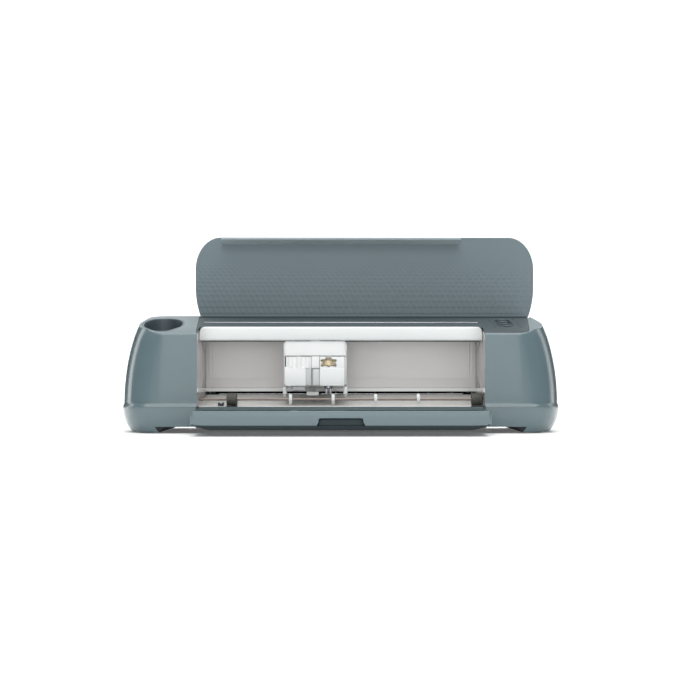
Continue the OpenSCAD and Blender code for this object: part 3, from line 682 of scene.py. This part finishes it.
def make_lid():
    """The lid as one closed skin: an embossed inside, a rounded rim and a plain outside."""
    s_lo, s_hi, edge = -47.0, LID_REACH, 6
    t = np.linspace(0, 1, 200)
    ss = list(s_lo + (s_hi - edge - s_lo) * t)
    ss += [s_hi - edge + edge * math.sin(math.pi / 2 * k / 7) for k in range(1, 8)]
    nx = 620
    rows = len(ss)
    xs = np.zeros((rows, nx))
    for r, s in enumerate(ss):
        i = lid_inset(s)
        xs[r] = np.linspace(LID_X[0] + i, LID_X[1] - i, nx)
    sg = np.repeat(np.array(ss)[:, None], nx, 1)
    # Perimeter loop of the grid, with inward normals in the (x, s) plane.
    loop = [(0, c) for c in range(nx)] + [(r, nx - 1) for r in range(1, rows)]
    loop += [(rows - 1, c) for c in range(nx - 2, -1, -1)] + [(r, 0) for r in range(rows - 2, 0, -1)]
    border = np.array([(xs[r, c], sg[r, c]) for r, c in loop])
    tang = np.roll(border, -1, 0) - np.roll(border, 1, 0)
    tang /= np.linalg.norm(tang, axis=1)[:, None] + 1e-9
    inward = np.stack([-tang[:, 1], tang[:, 0]], 1)

    def face_grid(n_of, pull):
        """Grid pulled in from the outline by a few tenths, at heights given by a function."""
        cx, cs = (LID_X[0] + LID_X[1]) / 2, 60.0
        half_x, half_s = 232, 90
        gx, gs = cx + (xs - cx) * (1 - pull / half_x), cs + (sg - cs) * (1 - pull / half_s)
        return gx, gs, n_of(gx, gs)

    def crown(s):
        """How much the inside comes forward towards the free edge."""
        return 0.9 * np.clip((s - 95) / 40, 0, 1) ** 2

    def inner_n(x, s):
        root = 0.35 * np.clip((25.6 - s) / 0.8, 0, 1)
        return 27.6 - crown(s) - diamond_height(x, s) * np.clip((s - ROOT_END) / 1.2, 0, 1) - root

    ix, isv, inn = face_grid(inner_n, 1.6)
    ox, osv, onn = face_grid(lambda x, s: np.full_like(x, 31.0), 1.6)
    verts = [lid_rest(lid_point(ix[r, c], isv[r, c], inn[r, c])) for r in range(rows) for c in range(nx)]
    base_o = len(verts)
    verts += [lid_rest(lid_point(ox[r, c], osv[r, c], onn[r, c])) for r in range(rows) for c in range(nx)]
    faces = []
    for r in range(rows - 1):
        for c in range(nx - 1):
            a = r * nx + c
            faces.append((a, a + 1, a + nx + 1, a + nx))
            faces.append((base_o + a, base_o + a + nx, base_o + a + nx + 1, base_o + a + 1))
    # The rim: loops from the inside to the outside, each drawn in by off at the height nn.
    rims = []
    for off, nn in ((0.45, 27.9), (0.05, 28.7), (0.0, 29.6), (0.35, 30.5)):
        start = len(verts)
        for (bx, bs), (nx_, ns_) in zip(border, inward):
            height = nn - crown(bs) if nn < 29 else nn
            verts.append(lid_rest(lid_point(bx + nx_ * off, bs + ns_ * off, height)))
        rims.append(start)
    m = len(loop)
    chain = [[r * nx + c for r, c in loop]] + [list(range(s0, s0 + m)) for s0 in rims]
    chain.append([base_o + r * nx + c for r, c in loop])
    for a, b in zip(chain[:-1], chain[1:]):
        for i in range(m):
            j = (i + 1) % m
            faces.append((a[i], b[i], b[j], a[j]))
    ob = mesh_object("lid_panel", verts, faces, 50)
    paint(ob, M["shell_matte"])
    ob.data.materials.append(M["shell_gloss"].m)
    ob.data.materials.append(M["deck_dark"].m)
    idx = np.zeros(len(ob.data.polygons), np.int32)
    # Painted shade: the rolled root's inside is coloured dark for the shade where the lid meets the gap
    # behind the deck.
    root_faces = sum(1 for s in ss if s < ROOT_END) - 1
    idx[::2][:root_faces * (nx - 1)] = 2
    for p in ob.data.polygons:
        if min(p.vertices) >= base_o:
            idx[p.index] = 1
    ob.data.polygons.foreach_set("material_index", idx)
    return ob


lid = make_lid()
piece(lid, "lid", "shell_matte", ["lid_shell", "lid_liner"])


def section_solid(name, section, x0, x1, turn=None, end_round=0.0):
    """A (d, z) section swept along x, with its ends drawn in where end_round is given."""
    c = np.mean(np.array(section), 0)
    rings = []
    stations, shrinks = [x0, x1], [1.0, 1.0]
    if end_round:
        steps = ((0, 0.55), (0.12, 0.8), (0.5, 0.96), (1, 1))
        stations = [x0 + end_round * t for t, _ in steps] + [x1 - end_round * t for t, _ in steps[::-1]]
        shrinks = [k for _, k in steps] + [k for _, k in steps[::-1]]
    for x, shrink in zip(stations, shrinks):
        ring = [(x, c[0] + (d - c[0]) * shrink, c[1] + (z - c[1]) * shrink) for d, z in section]
        rings.append([turn(p) if turn else P(*p) for p in ring])
    return rings_object(name, rings)


lip = section_solid("lid_lip", [(7.9, 135), (7.2, 124), (6.6, 113.6), (7.0, 112.4), (7.8, 112.2), (8.5, 113),
                                (9.0, 124), (10.0, 135)], -163, 163, lid_rest)
# Painted light: the lip is coloured lighter than the lid, for the floor's bounce light.
paint(lip, M["lip"])
piece(lip, "lid", "shell_matte")


# ---------------------------------------------------------------- deck
def make_deck():
    """Dark deck plates on both sides and behind, the bull-nosed front profile and its bright trim."""
    def left(d):
        """The deck's left edge at a depth."""
        return -181.4 - 9.2 * (d - 8.7) / 119.5

    def right(d):
        """Its right edge, which follows the body's corner at first."""
        corner = 223.2 + 44 * math.sqrt(max(0.0, 1 - (1 - min(72.0, d - 8.6) / 72) ** 2))
        return min(corner, 236.7 + 14.2 * (d - 12.4) / 115.7)

    rings = []
    for d in (8.7, 8.9, 9.2, 9.8, 10.6, 11.6, 12.4, 13.4, 15, 17.5, 20, 23, 26, 30, 58, 86, 118, 128):
        z = top_z(d) - 0.35 - (0.5 if d < 8.8 else 0.12 if d < 9 else 0)
        zb = top_z(d) - 3.25
        xl, xr = left(d), right(d)
        rings.append([P(xl, d, zb), P(xl, d, z - 0.45), P(xl + 0.12, d, z - 0.12), P(xl + 0.45, d, z),
                      P(xr - 0.45, d, z), P(xr - 0.12, d, z - 0.12), P(xr, d, z - 0.45), P(xr, d, zb)])
    plate = rings_object("plate", rings)
    bay_opening = box_object(-180.2, 180.2, 0, 86.3, 100, 200)
    button_opening = box_object(196.9, 229.1, 29.9, 118.1, 100, 200)
    boolean(plate, [bay_opening, button_opening])
    profile = section_solid("profile", [
        (31, 130.4), (31, 133), (31.4, 133.7), (33, 134.5), (37, 135.8), (42, 137), (43.6, 137.2),
        (44.4, 136.9), (45, 136.2), (45.6, 137), (46.4, 137.6), (52, 138.8), (58, 140), (59.4, 140.2),
        (60.2, 140), (61, 139.4), (62, 139.5), (63.4, 139.9), (64.4, 140.9), (70.6, 140.9), (72, 140.4),
        (72, 119), (84, 119), (84, deck_z(84) - 0.4), (86.2, deck_z(86.2) - 0.4), (86.2, 116.8),
        (69.8, 116.8), (69.8, 138.6), (62, 136.6), (45, 133.4)], -179.8, 179.8)
    deck = join([plate, profile], "top_deck_skin")
    shade(deck, 30)
    paint(deck, M["deck_dark"])
    piece(deck, "body", "deck_dark", ["top_deck"])
    trim = section_solid("deck_trim", [
        (64.5, 140.95), (64.5, 141.3), (65.0, 141.65), (66.2, 142.0), (68.0, 142.2), (69.4, 142.05),
        (70.2, 141.5), (70.5, 140.95)], -178, 178, end_round=1.2)
    piece(trim, "body", "steel")


make_deck()


def make_beam():
    """White cross beam: a slightly bowed front face that curves back at both ends, open behind."""
    half, top, bottom, r = 179.4, 134.2, 116.8, 7.0
    # (inset from the top or bottom, depth), from the open back to the middle of the front face
    edge = ((0.0, 33.6), (0.0, 25.4), (0.15, 24.5), (0.5, 23.8), (1.1, 23.35), (2.2, 23.0), (4.5, 22.6),
            (7.0, 22.4))
    side = [half - r + r * math.sin(t) for t in np.linspace(0, math.pi / 2, 12)]
    right = [60, 120, 160, 163, 166, 169, 171] + side
    rings = []
    for x in [-v for v in reversed(right)] + [0] + right:
        end = half - abs(x)
        upper = top if end >= r else top - r + math.sqrt(max(0.0, r * r - (r - end) ** 2))
        back = 5.0 * max(0.0, (abs(x) - 162) / 17.4) ** 2
        fit = (upper - bottom) / (top - bottom)
        ring = [P(x, d + (back if d < 30 else 0), bottom + inset * fit) for inset, d in edge]
        ring += [P(x, d + (back if d < 30 else 0), upper - inset * fit) for inset, d in reversed(edge)]
        rings.append(ring)
    beam = rings_object("beam", rings, 40)
    boolean(beam, [box_object(-163, 163, 24.6, 40, 118.6, 132.4),
                   box_object(-175.4, 175.4, 28.8, 40, 118.6, 131.6)])
    shade(beam, 40)
    beam.name = "beam_cover_skin"
    # Painted shade: the beam takes a darker copy of the white plastic, offsetting the top light on it.
    paint(beam, M["beam_white_shade"])
    piece(beam, "body", "white_plastic", ["beam_cover"])


make_beam()


# ---------------------------------------------------------------- door
DOOR_HALF = 178.5
DOOR_WALL = 2.6
DOOR_AXIS = (10, 17)
# The block behind the grip recess, in x, depth and height.
GRIP = (-31.2, 31.2, -90, -66.8, 5, 23.2)


def door_lift(x):
    """How much the underside rises towards the door's ends."""
    t = min(1.0, max(0.0, (abs(x) - 154.5) / 24))
    return 7.2 * t ** 1.7


def door_ring(x, inset):
    """The open door's section at x, from the front rim round the underside. With an inset, its inside."""
    lift, corner = door_lift(x), 3.0
    u = max(0.0, abs(x) - (DOOR_HALF - inset - corner))
    pull = corner - math.sqrt(max(0.0, corner ** 2 - min(corner, u) ** 2))
    if inset:
        low = 9.7 + lift
        pts = [(-80.4 + pull, 29.2), (-80.4 + pull, max(16.5, low)), (-78.6 + pull, low + 0.8),
               (-76 + pull, low), (-40, low * 0.5 + 9.7 * 0.5), (-10, 9.7), (-1.6, 9.7), (-1.6, 29.2)]
        return [P(x, d, z) for d, z in pts]
    pts = [(-81.4 + pull, 30.5), (-82.5 + pull, 30.2), (-83 + pull, 29.4), (-83.05 + pull, 24),
           (-83 + pull, 14.6), (-82.6 + pull, 13.2 + lift * 0.1), (-81.4 + pull, 11.3 + lift * 0.4),
           (-78 + pull, 8.9 + lift * 0.72), (-73 + pull, 7.5 + lift * 0.92), (-66, 7 + lift),
           (-40, 7 + lift * 0.55), (-12, 7)]
    knuckle = 10
    for k in range(13):
        t = math.radians(-80 + 155 * k / 12)
        pts.append((DOOR_AXIS[0] + knuckle * math.cos(t), DOOR_AXIS[1] + knuckle * math.sin(t)))
    pts += [(8.6, 29.2), (7.6, 30.4)]
    return [P(x, d, z) for d, z in pts]


def door_loft(name, inset, half):
    """The door's section, or its inside, over a width of twice half."""
    xs = [0, 50, 100, 140, 150, 154.5, 157, 160, 163, 166, 169, 171.5, 173.5, 175, 176, 176.8, 177.5, 178.0,
          178.35]
    xs = [x for x in xs if x < half - 0.1] + [half]
    xs = [-x for x in xs[:0:-1]] + xs
    return rings_object(name, [door_ring(x, inset) for x in xs], 30)


def make_door_shell():
    """The door's hollow shell with its grip recess and hinge bores. Its lower front edge and the recess's
    walls are painted dark as shade.
    """
    shell = door_loft("door_skin", 0.0, DOOR_HALF)
    cavity = door_loft("cavity", DOOR_WALL, DOOR_HALF - DOOR_WALL)
    mouth = box_object(-175.9, 175.9, -80.4, -1.6, 28, 40)
    boolean(cavity, [box_object(*GRIP)])
    boolean(shell, [cavity, mouth])
    # The grip recess: a trapezoid with rounded upper corners that narrows a little inwards.
    rings = []
    for grow, d in ((0.9, -84.0), (0.9, -83.05), (0.35, -82.6), (0.0, -81.9), (-0.7, -77.2), (-1.6, -76.4)):
        ring = [(-28.6 - grow, 12.2), (-27.4 - grow, 15.2), (-25.6 - grow, 18.4)]
        ring += [(-23.4 + 3.2 * math.cos(t) - grow * 0.6, 17.9 + grow + 3.3 * math.sin(t))
                 for t in np.linspace(math.pi * 0.93, math.pi / 2, 6)]
        ring = ring + [(-x, z) for x, z in ring[::-1]]
        rings.append([P(x, d, z + (1.3 if d > -80 and z < 13 else 0)) for x, z in ring])
    boolean(shell, [rings_object("grip", rings)])
    for side in (-1, 1):
        boolean(shell, [lathe("bore", [(3.05, 180 * side), (3.05, 164 * side)], DOOR_AXIS, "x")])
    shade(shell, 32)
    paint(shell, M["shell_gloss"])
    shell.data.materials.append(M["door_edge_shade"].m)
    shell.data.materials.append(M["deck_dark"].m)
    for p in shell.data.polygons:
        c = p.center
        d = depth_of(c)
        # Painted shade: the lower front roundover is coloured dark for the shade it lies in above the floor.
        if p.normal.z < -0.4 and d < -74:
            p.material_index = 1
        # Painted shade: the grip recess's walls are coloured dark for the shade inside the recess.
        elif abs(c.x) < 31 * MM and -82.4 < d < -66 and c.z < 23 * MM:
            p.material_index = 2
    piece(shell, "door", "shell_gloss", ["door_shell"])


def make_door_tray():
    """The tray that fills the door, with two compartments and the flap's hinge bore."""
    tray = door_loft("door_tray_skin", DOOR_WALL, 175.8)
    cuts = [box_object(*GRIP)]
    for x0, x1, d0 in ((-170, -62, -65), (-54, 170, -63.6)):
        cuts.append(soft_block(x0, x1, d0, -6, 12.4, 50, 2.4, 3))
    cuts.append(box_object(-54, 170, -67.2, -6, 25, 50))
    cuts.append(lathe("hinge_bore", [(1.1, -57), (1.1, 173)], (-64.8, 27.2), "x", 16))
    boolean(tray, cuts)
    shade(tray, 32)
    piece(tray, "door", "deck_dark", ["door_tray"])


make_door_shell()
make_door_tray()


# ---------------------------------------------------------------- carriage
# The carriage's middle at rest. Its pieces are placed from there along x.
CX = -33.0
TOOL_DEPTH = 42.5
CLAMP_PIN_DEPTH = 33.6
TOOL_A_X = CX - 25
TOOL_B_X = CX + 17


def cblock(x0, x1, d0, d1, z0, z1, r=0.4, seg=2, edges=None, r2=0.0):
    """A soft block placed from the carriage's middle."""
    return soft_block(CX + x0, CX + x1, d0, d1, z0, z1, r, seg, edges, r2)


def group(name, body, slot, parts, replaces=(), mat=None):
    """Parts joined into one piece, in its slot's material or another."""
    ob = join(parts, name)
    shade(ob, 40)
    paint(ob, mat or M[slot])
    piece(ob, body, slot, replaces)


def front_upright_or_top_side(way, off):
    """The edges of the carriage's cap that carry the larger radius."""
    return (abs(way.z) > 0.9 and off.y < 0) or (abs(way.y) > 0.9 and off.z > 0)


def clamp_barrel(x):
    """The tube a clamp turns on."""
    bore, outer, low, high = 1.56, 2.9, 61, 95.6
    profile = [(bore, low), (outer, low), (outer, high), (bore, high), (bore, low)]
    return lathe("barrel", profile, (x, CLAMP_PIN_DEPTH), "z", 28)


def make_carriage_cap():
    """White cap over the carriage, with a cheek down each side."""
    cap = cblock(-40, 40, 28, 63, 97.4, 116, 0.9, 3, front_upright_or_top_side, 4.6)
    boolean(cap, [box_object(CX - 38.2, CX + 38.2, 30, 64, 90, 114.4),
                  box_object(CX - 38.2, CX + 38.2, 36, 70, 109, 120)])
    half = 39.1
    cheeks = [cblock(x - 0.9, x + 0.9, 38.6, 62.8, 60.8, 98.4, 0.35) for x in (-half, half)]
    group("carriage_cap", "carriage", "white_plastic", [cap] + cheeks, ["carriage_cover"])


def make_clamp_a():
    """Clamp A: a flat panel, three knuckles above it and a recessed column beside it."""
    parts = [cblock(-38.4, -11.8, 28.2, 30.8, 59.3, 82.4, 0.5, 3),
             cblock(-37.6, -5.2, 29.9, 31.4, 59.8, 96.4, 0.3)]
    for x0, x1 in ((-35.2, -27.2), (-24.9, -16.2), (-13.4, -6.2)):
        centre, half = (x0 + x1) / 2, (x1 - x0) / 2
        rings = []
        for u, z in ((-half, 82.0), (-half, 84.5), (-half + 0.5, 90), (-half + 1.0, 96.2)):
            rings.append([P(CX + centre + u * math.cos(t), 30.2 - abs(u) * 0.62 * math.sin(t), z)
                          for t in np.linspace(0, math.pi, 14)])
        parts.append(rings_object("knuckle", rings, 40))
    parts += [cblock(-38.6, -35, 30.4, CLAMP_PIN_DEPTH, 61, 95.6), cblock(-30, -14.5, 31.2, 33, 62, 68),
              clamp_barrel(CX - 36.2)]
    group("clamp_a_skin", "clamp_a", "white_plastic", parts, ["clamp_a_lever"])
    # Painted shade: a thin black piece that stands in for the shade in the slot beside the first knuckle.
    group("clamp_a_slot_shade", "clamp_a", "black_plastic", [cblock(-38.3, -36.9, 29.2, 30.0, 83.7, 96.3, 0.2)])
    # Painted shade: this recessed column is coloured grey for the shade in the gap beside clamp A.
    column = cblock(-11.2, -4.7, 29.1, 30.6, 59.8, 82.0, 0.4, 3)
    group("clamp_a_column", "clamp_a", "grey_plastic", [column], mat=M["column_shade_grey"])


def make_clamp_b():
    """Clamp B: a flat panel, and above it a bezel whose opening shows the gear."""
    parts = [cblock(5.9, 37.2, 28.2, 30.8, 59.3, 82.0, 0.5, 3),
             cblock(27.9, 37.2, 28.3, 30.8, 81.2, 96.4, 0.5, 3),
             cblock(34, 37.6, 30.4, CLAMP_PIN_DEPTH, 61, 95.6), cblock(10.5, 26, 30.6, 33, 62, 68),
             clamp_barrel(CX + 35.2)]
    bezel = cblock(5.9, 28.2, 28.4, 29.8, 81.4, 96.4, 0.3, 2)
    # The opening's right half, from the top down. The left half mirrors it.
    right = [(3.7, 95.6), (4.5, 93.2), (10.2, 92.6), (10.3, 90.6), (8.5, 88.8), (10.1, 86.2), (9.6, 83.6),
             (2.8, 84.4), (0.0, 83.0)]
    outline = right + [(-x, z) for x, z in right[-2::-1]]
    outline = [(CX + 17.2 + x, z) for x, z in outline]
    boolean(bezel, [outline_cutter("gear_opening", outline, 20, 40)])
    group("clamp_b_skin", "clamp_b", "white_plastic", parts + [bezel], ["clamp_b_lever"])


def make_carriage_fittings():
    """On the carriage itself: the post between the clamps, the block above it, feet and a sensor."""
    post = cblock(-2.5, 5.5, 28.3, 31, 60.2, 80.2, 0.9, 3)
    group("carriage_post", "carriage", "white_plastic", [post], mat=M["post_grey"])
    block = [cblock(-4.6, 5.4, 28.2, 33.5, 81.6, 96.7, 0.6, 3), cblock(5.0, 27.5, 32.0, 50, 95.2, 96.7, 0.3)]
    group("carriage_block", "carriage", "white_plastic", block)
    half = 38.6
    feet = [cblock(x - 2.6, x + 2.6, 39.6, 46, 48.5, 58.4, 1.2, 3) for x in (-half, half)]
    feet.append(cblock(-11.2, 4.4, 43.6, 58.2, 46.9, 51.9, 0.7, 3))
    group("carriage_feet", "carriage", "white_plastic", feet)
    group("carriage_sensor", "carriage", "black_plastic", [cblock(4.6, 7.4, 43.9, 47.5, 47.6, 50.4, 0.5, 2)])


def make_tool_a():
    """Tool A: an adapter with a stepped tip, its hanger behind, and the carriage's shroud in front of it."""
    x = TOOL_A_X
    tool = lathe("tool", [(4.55, 55), (4.55, 98), (7.6, 98), (8.8, 96.8), (8.8, 84), (8.3, 83.4), (8.3, 82.2),
                          (8.8, 81.6), (8.8, 62.8), (8.0, 62), (5.2, 62), (5.2, 57), (3.4, 52.6), (1.2, 52),
                          (0.01, 52), (0.01, 55), (4.55, 55)], (x, TOOL_DEPTH), "z", 44)
    hanger = soft_block(x - 5, x + 5, 50.8, 61.4, 74, 92, 0.4)
    boolean(hanger, [lathe("b", [(1.6, 70), (1.6, 95)], (x, 57.5), "z", 24)])
    group("tool_a_skin", "tool_a", "grey_plastic", [tool, hanger], ["tool_a_adapter"])
    shroud = cblock(-28.6, -12.6, 30.7, 33.4, 53.3, 58.9, 0.6, 3)
    group("tool_a_shroud", "carriage", "grey_plastic", [shroud])


def make_tool_b():
    """Tool B: a spindle that ends in a small fork with a cutting wheel, and the gold gear's crown."""
    x, axle_at = TOOL_B_X, (TOOL_DEPTH, 51.2)
    wheel = lathe("wheel", [(0.01, x - 0.45), (3.0, x - 0.45), (3.75, x - 0.06), (3.75, x + 0.06),
                            (3.0, x + 0.45), (0.01, x + 0.45)], axle_at, "x", 48)
    hub = lathe("hub", [(0.01, 55.4), (4.2, 55.4), (5.6, 56.4), (5.6, 59.2), (5.2, 59.6), (2, 59.6), (2, 95),
                        (0.01, 95)], (x, TOOL_DEPTH), "z", 40)
    tines = [soft_block(t - 0.9, t + 0.9, 39.6, 45.4, 49.2, 56, 0.35) for t in (x - 2.6, x + 2.6)]
    axle = lathe("axle", [(0.01, x - 4.2), (1.1, x - 4.2), (1.1, x + 4.2), (0.01, x + 4.2)], axle_at, "x", 20)
    group("blade_spindle_skin", "blade", "steel", [hub, wheel] + tines + [axle], ["blade_spindle"])
    crown = lathe("crown", [(2.1, 92.1), (8.8, 92.3), (9.9, 92.9), (10.1, 93.6), (9.7, 94.2), (5.6, 94.4),
                            (5.4, 94.9), (2.1, 94.9), (2.1, 92.1)], (x, TOOL_DEPTH), "z", 48)
    group("gear_crown", "blade", "brass", [crown])


make_carriage_cap()
make_clamp_a()
make_clamp_b()
make_carriage_fittings()
make_tool_a()
make_tool_b()


# ---------------------------------------------------------------- inside the bay
def bay_floor_material():
    """Light moulded plastic in the bay, painted near black inside the rear slot as the slot's shade."""
    m = plastic("bay_floor", (240, 238, 235), 0.38, grain=2600, grain_depth=0.02, vary=0.015)
    split = m.node("ShaderNodeSeparateXYZ", Vector=m.coord)
    # Painted shade: the floor turns near black inside the rear slot, where shade falls.
    slot_shade_mask = m.ramp(split.outputs["Y"], P(0, 112.6, 0)[1], P(0, 113.2, 0)[1])
    link = next(k for k in m.t.links if k.to_socket == m.bsdf.inputs["Base Color"])
    light = link.from_socket
    m.put(m.bsdf.inputs["Base Color"], m.mix(slot_shade_mask, light, srgb(16, 16, 17)))
    return m


paint(nodes["platen"], bay_floor_material())


def make_ledges():
    """Light ledge along each side wall of the bay."""
    section = [(10.5, 51.3), (10.5, 55.4), (11.1, 56), (112, 56), (112, 51.3)]
    for side, x in (("left", -179.6), ("right", 179.6)):
        piece(section_solid("ledge_" + side, section, x - 0.9, x + 0.8), "body", "white_plastic")


def make_brush():
    """Fringe of soft bristles that closes the rear slot."""
    verts, faces = [], []
    rng = np.random.default_rng(7)
    for row, d in enumerate((171.6, 172.6, 173.5)):
        for k in range(430):
            x = -172 + 0.8 * k + 0.27 * row
            lean, low = rng.normal(0, 0.18), 47.15 + 0.25 * rng.random()
            n = len(verts)
            for z, w, dx in ((51.25, 0.42, 0.0), (49.2, 0.4, lean * 0.4), (low, 0.24, lean)):
                verts += [P(x + dx - w, d - w * 0.6, z), P(x + dx + w, d - w * 0.6, z),
                          P(x + dx + w, d + w * 0.6, z), P(x + dx - w, d + w * 0.6, z)]
            for q in (n, n + 4):
                faces += [(q + i, q + (i + 1) % 4, q + 4 + (i + 1) % 4, q + 4 + i) for i in range(4)]
            faces += [(n + 3, n + 2, n + 1, n), (n + 8, n + 9, n + 10, n + 11)]
    brush = mesh_object("rear_slot_brush", verts, faces)
    paint(brush, M["brush_black"])
    piece(brush, "body", "soft_dark")


make_ledges()
make_brush()


# ---------------------------------------------------------------- cup
# The first of the cup's rings that lies inside its lip.
CUP_INSIDE = 10


def make_cup():
    """The tool cup's liner, from its foot up the outside, over the lip and down inside."""
    # (inset from the outer outline, height above the deck or None, absolute height)
    profile = [(9.0, None, 77.0), (6.5, None, 78.5), (5.0, None, 84.0), (2.2, None, 100.0), (0.3, -9.0, None),
               (0.0, -4.0, None), (0.0, -0.5, None), (0.3, 0.15, None), (0.8, 0.3, None), (1.4, 0.15, None),
               (1.9, -0.6, None), (2.2, -2.0, None), (2.5, -9.0, None), (4.4, None, 100.0),
               (6.8, None, 85.0), (8.0, None, 82.0), (10.5, None, 80.0), (14.0, None, 79.2)]
    rings = []
    for i, above, z in profile:
        ring = cup_ring(i, z)
        if above is not None:
            ring = [(p[0], p[1], p[2] + above * MM) for p in ring]
        rings.append(ring)
    cup = rings_object("cup_liner_skin", rings, 40)
    paint(cup, M["shell_top"])
    cup.data.materials.append(M["cup_inside_shade"].m)
    # Painted shade: faces inside the cup below the rim are coloured dark for the shade in the hollow.
    for p in cup.data.polygons:
        c = p.center
        if p.index >= CUP_INSIDE * CUP_POINTS and c.z < top_z(depth_of(c)) * MM - 0.9 * MM:
            p.material_index = 1
    piece(cup, "body", "shell_gloss", ["cup_liner"])


make_cup()


# ---------------------------------------------------------------- studio
def area(name, loc, target, size, power):
    """A rectangular light at loc that faces target."""
    d = bpy.data.lights.new(name, "AREA")
    d.shape = "RECTANGLE"
    d.size, d.size_y = size
    d.energy = power
    o = bpy.data.objects.new(name, d)
    scene.collection.objects.link(o)
    o.location = loc
    o.rotation_euler = look_at(loc, target)
    o.visible_camera = False


area("front", (0, -2.45, 0.62), (0, -2.0, 0.60), (1.3, 1.2), 9)
area("key", (0, -1.95, 1.75), (0, 0, 0.08), (1.9, 1.0), 22)
area("top", (0, -0.15, 2.3), (0, -0.1, 0.0), (2.6, 2.2), 46)
area("left", (-0.80, 0.33, 0.24), (0, 0.0, 0.10), (0.20, 0.42), 0.36)
area("right", (0.80, 0.33, 0.24), (0, 0.0, 0.10), (0.20, 0.42), 0.2)
area("wall", (0, 1.0, 2.6), (0, 2.4, 0.7), (3.4, 0.8), 50)
# Weak studio fill inside the open bay. It is not a part of the machine.
area("bay", P(0, 36, 115.5), P(0, 70, 60), (0.33, 0.012), 0.045)

world = bpy.data.worlds.new("studio")
scene.world = world
world.use_nodes = True
bg = world.node_tree.nodes["Background"]
bg.inputs["Color"].default_value = (1, 1, 1, 1)
bg.inputs["Strength"].default_value = 0.22


def make_floor():
    """Pale paper sweep: flat under the object, curved up into a wall behind it."""
    front, bend, half_width, height = -3.0, 1.2, 5, 4.0
    prof = [(front, 0.0), (bend, 0.0)]
    turn = np.linspace(0, math.pi / 2, 24)[1:]
    prof += [(bend + bend * math.sin(t), bend - bend * math.cos(t)) for t in turn]
    prof += [(2 * bend, height)]
    v, f = [], []
    for y, z in prof:
        v += [(-half_width, y, z), (half_width, y, z)]
    for k in range(len(prof) - 1):
        f.append((2 * k, 2 * k + 1, 2 * k + 3, 2 * k + 2))
    me = bpy.data.meshes.new("floor")
    me.from_pydata(v, [], f)
    ob = bpy.data.objects.new("floor", me)
    scene.collection.objects.link(ob)
    me.shade_smooth()
    m = plastic("floor_paper", (250, 250, 250), 0.7, grain=300, grain_depth=0.05, vary=0.004, wave=False)
    m.put(m.bsdf.inputs["Emission Color"], (1, 1, 1, 1))
    m.bsdf.inputs["Emission Strength"].default_value = 0.1
    paint(ob, m)


make_floor()


def make_flags():
    """Black studio flags beside the object, unseen by the camera, that darken its rounded corners."""
    away, height = 0.75, 0.4
    for x in (-away, away):
        for y0, y1 in ((-1.7, 0.2), (0.46, 1.3)):
            me = bpy.data.meshes.new("flag")
            me.from_pydata([(x, y0, 0.0), (x, y1, 0.0), (x, y1, height), (x, y0, height)], [], [(0, 1, 2, 3)])
            ob = bpy.data.objects.new("flag", me)
            scene.collection.objects.link(ob)
            paint(ob, M["brush_black"])
            ob.visible_camera = False
            ob.visible_shadow = False
            ob.visible_diffuse = False


make_flags()
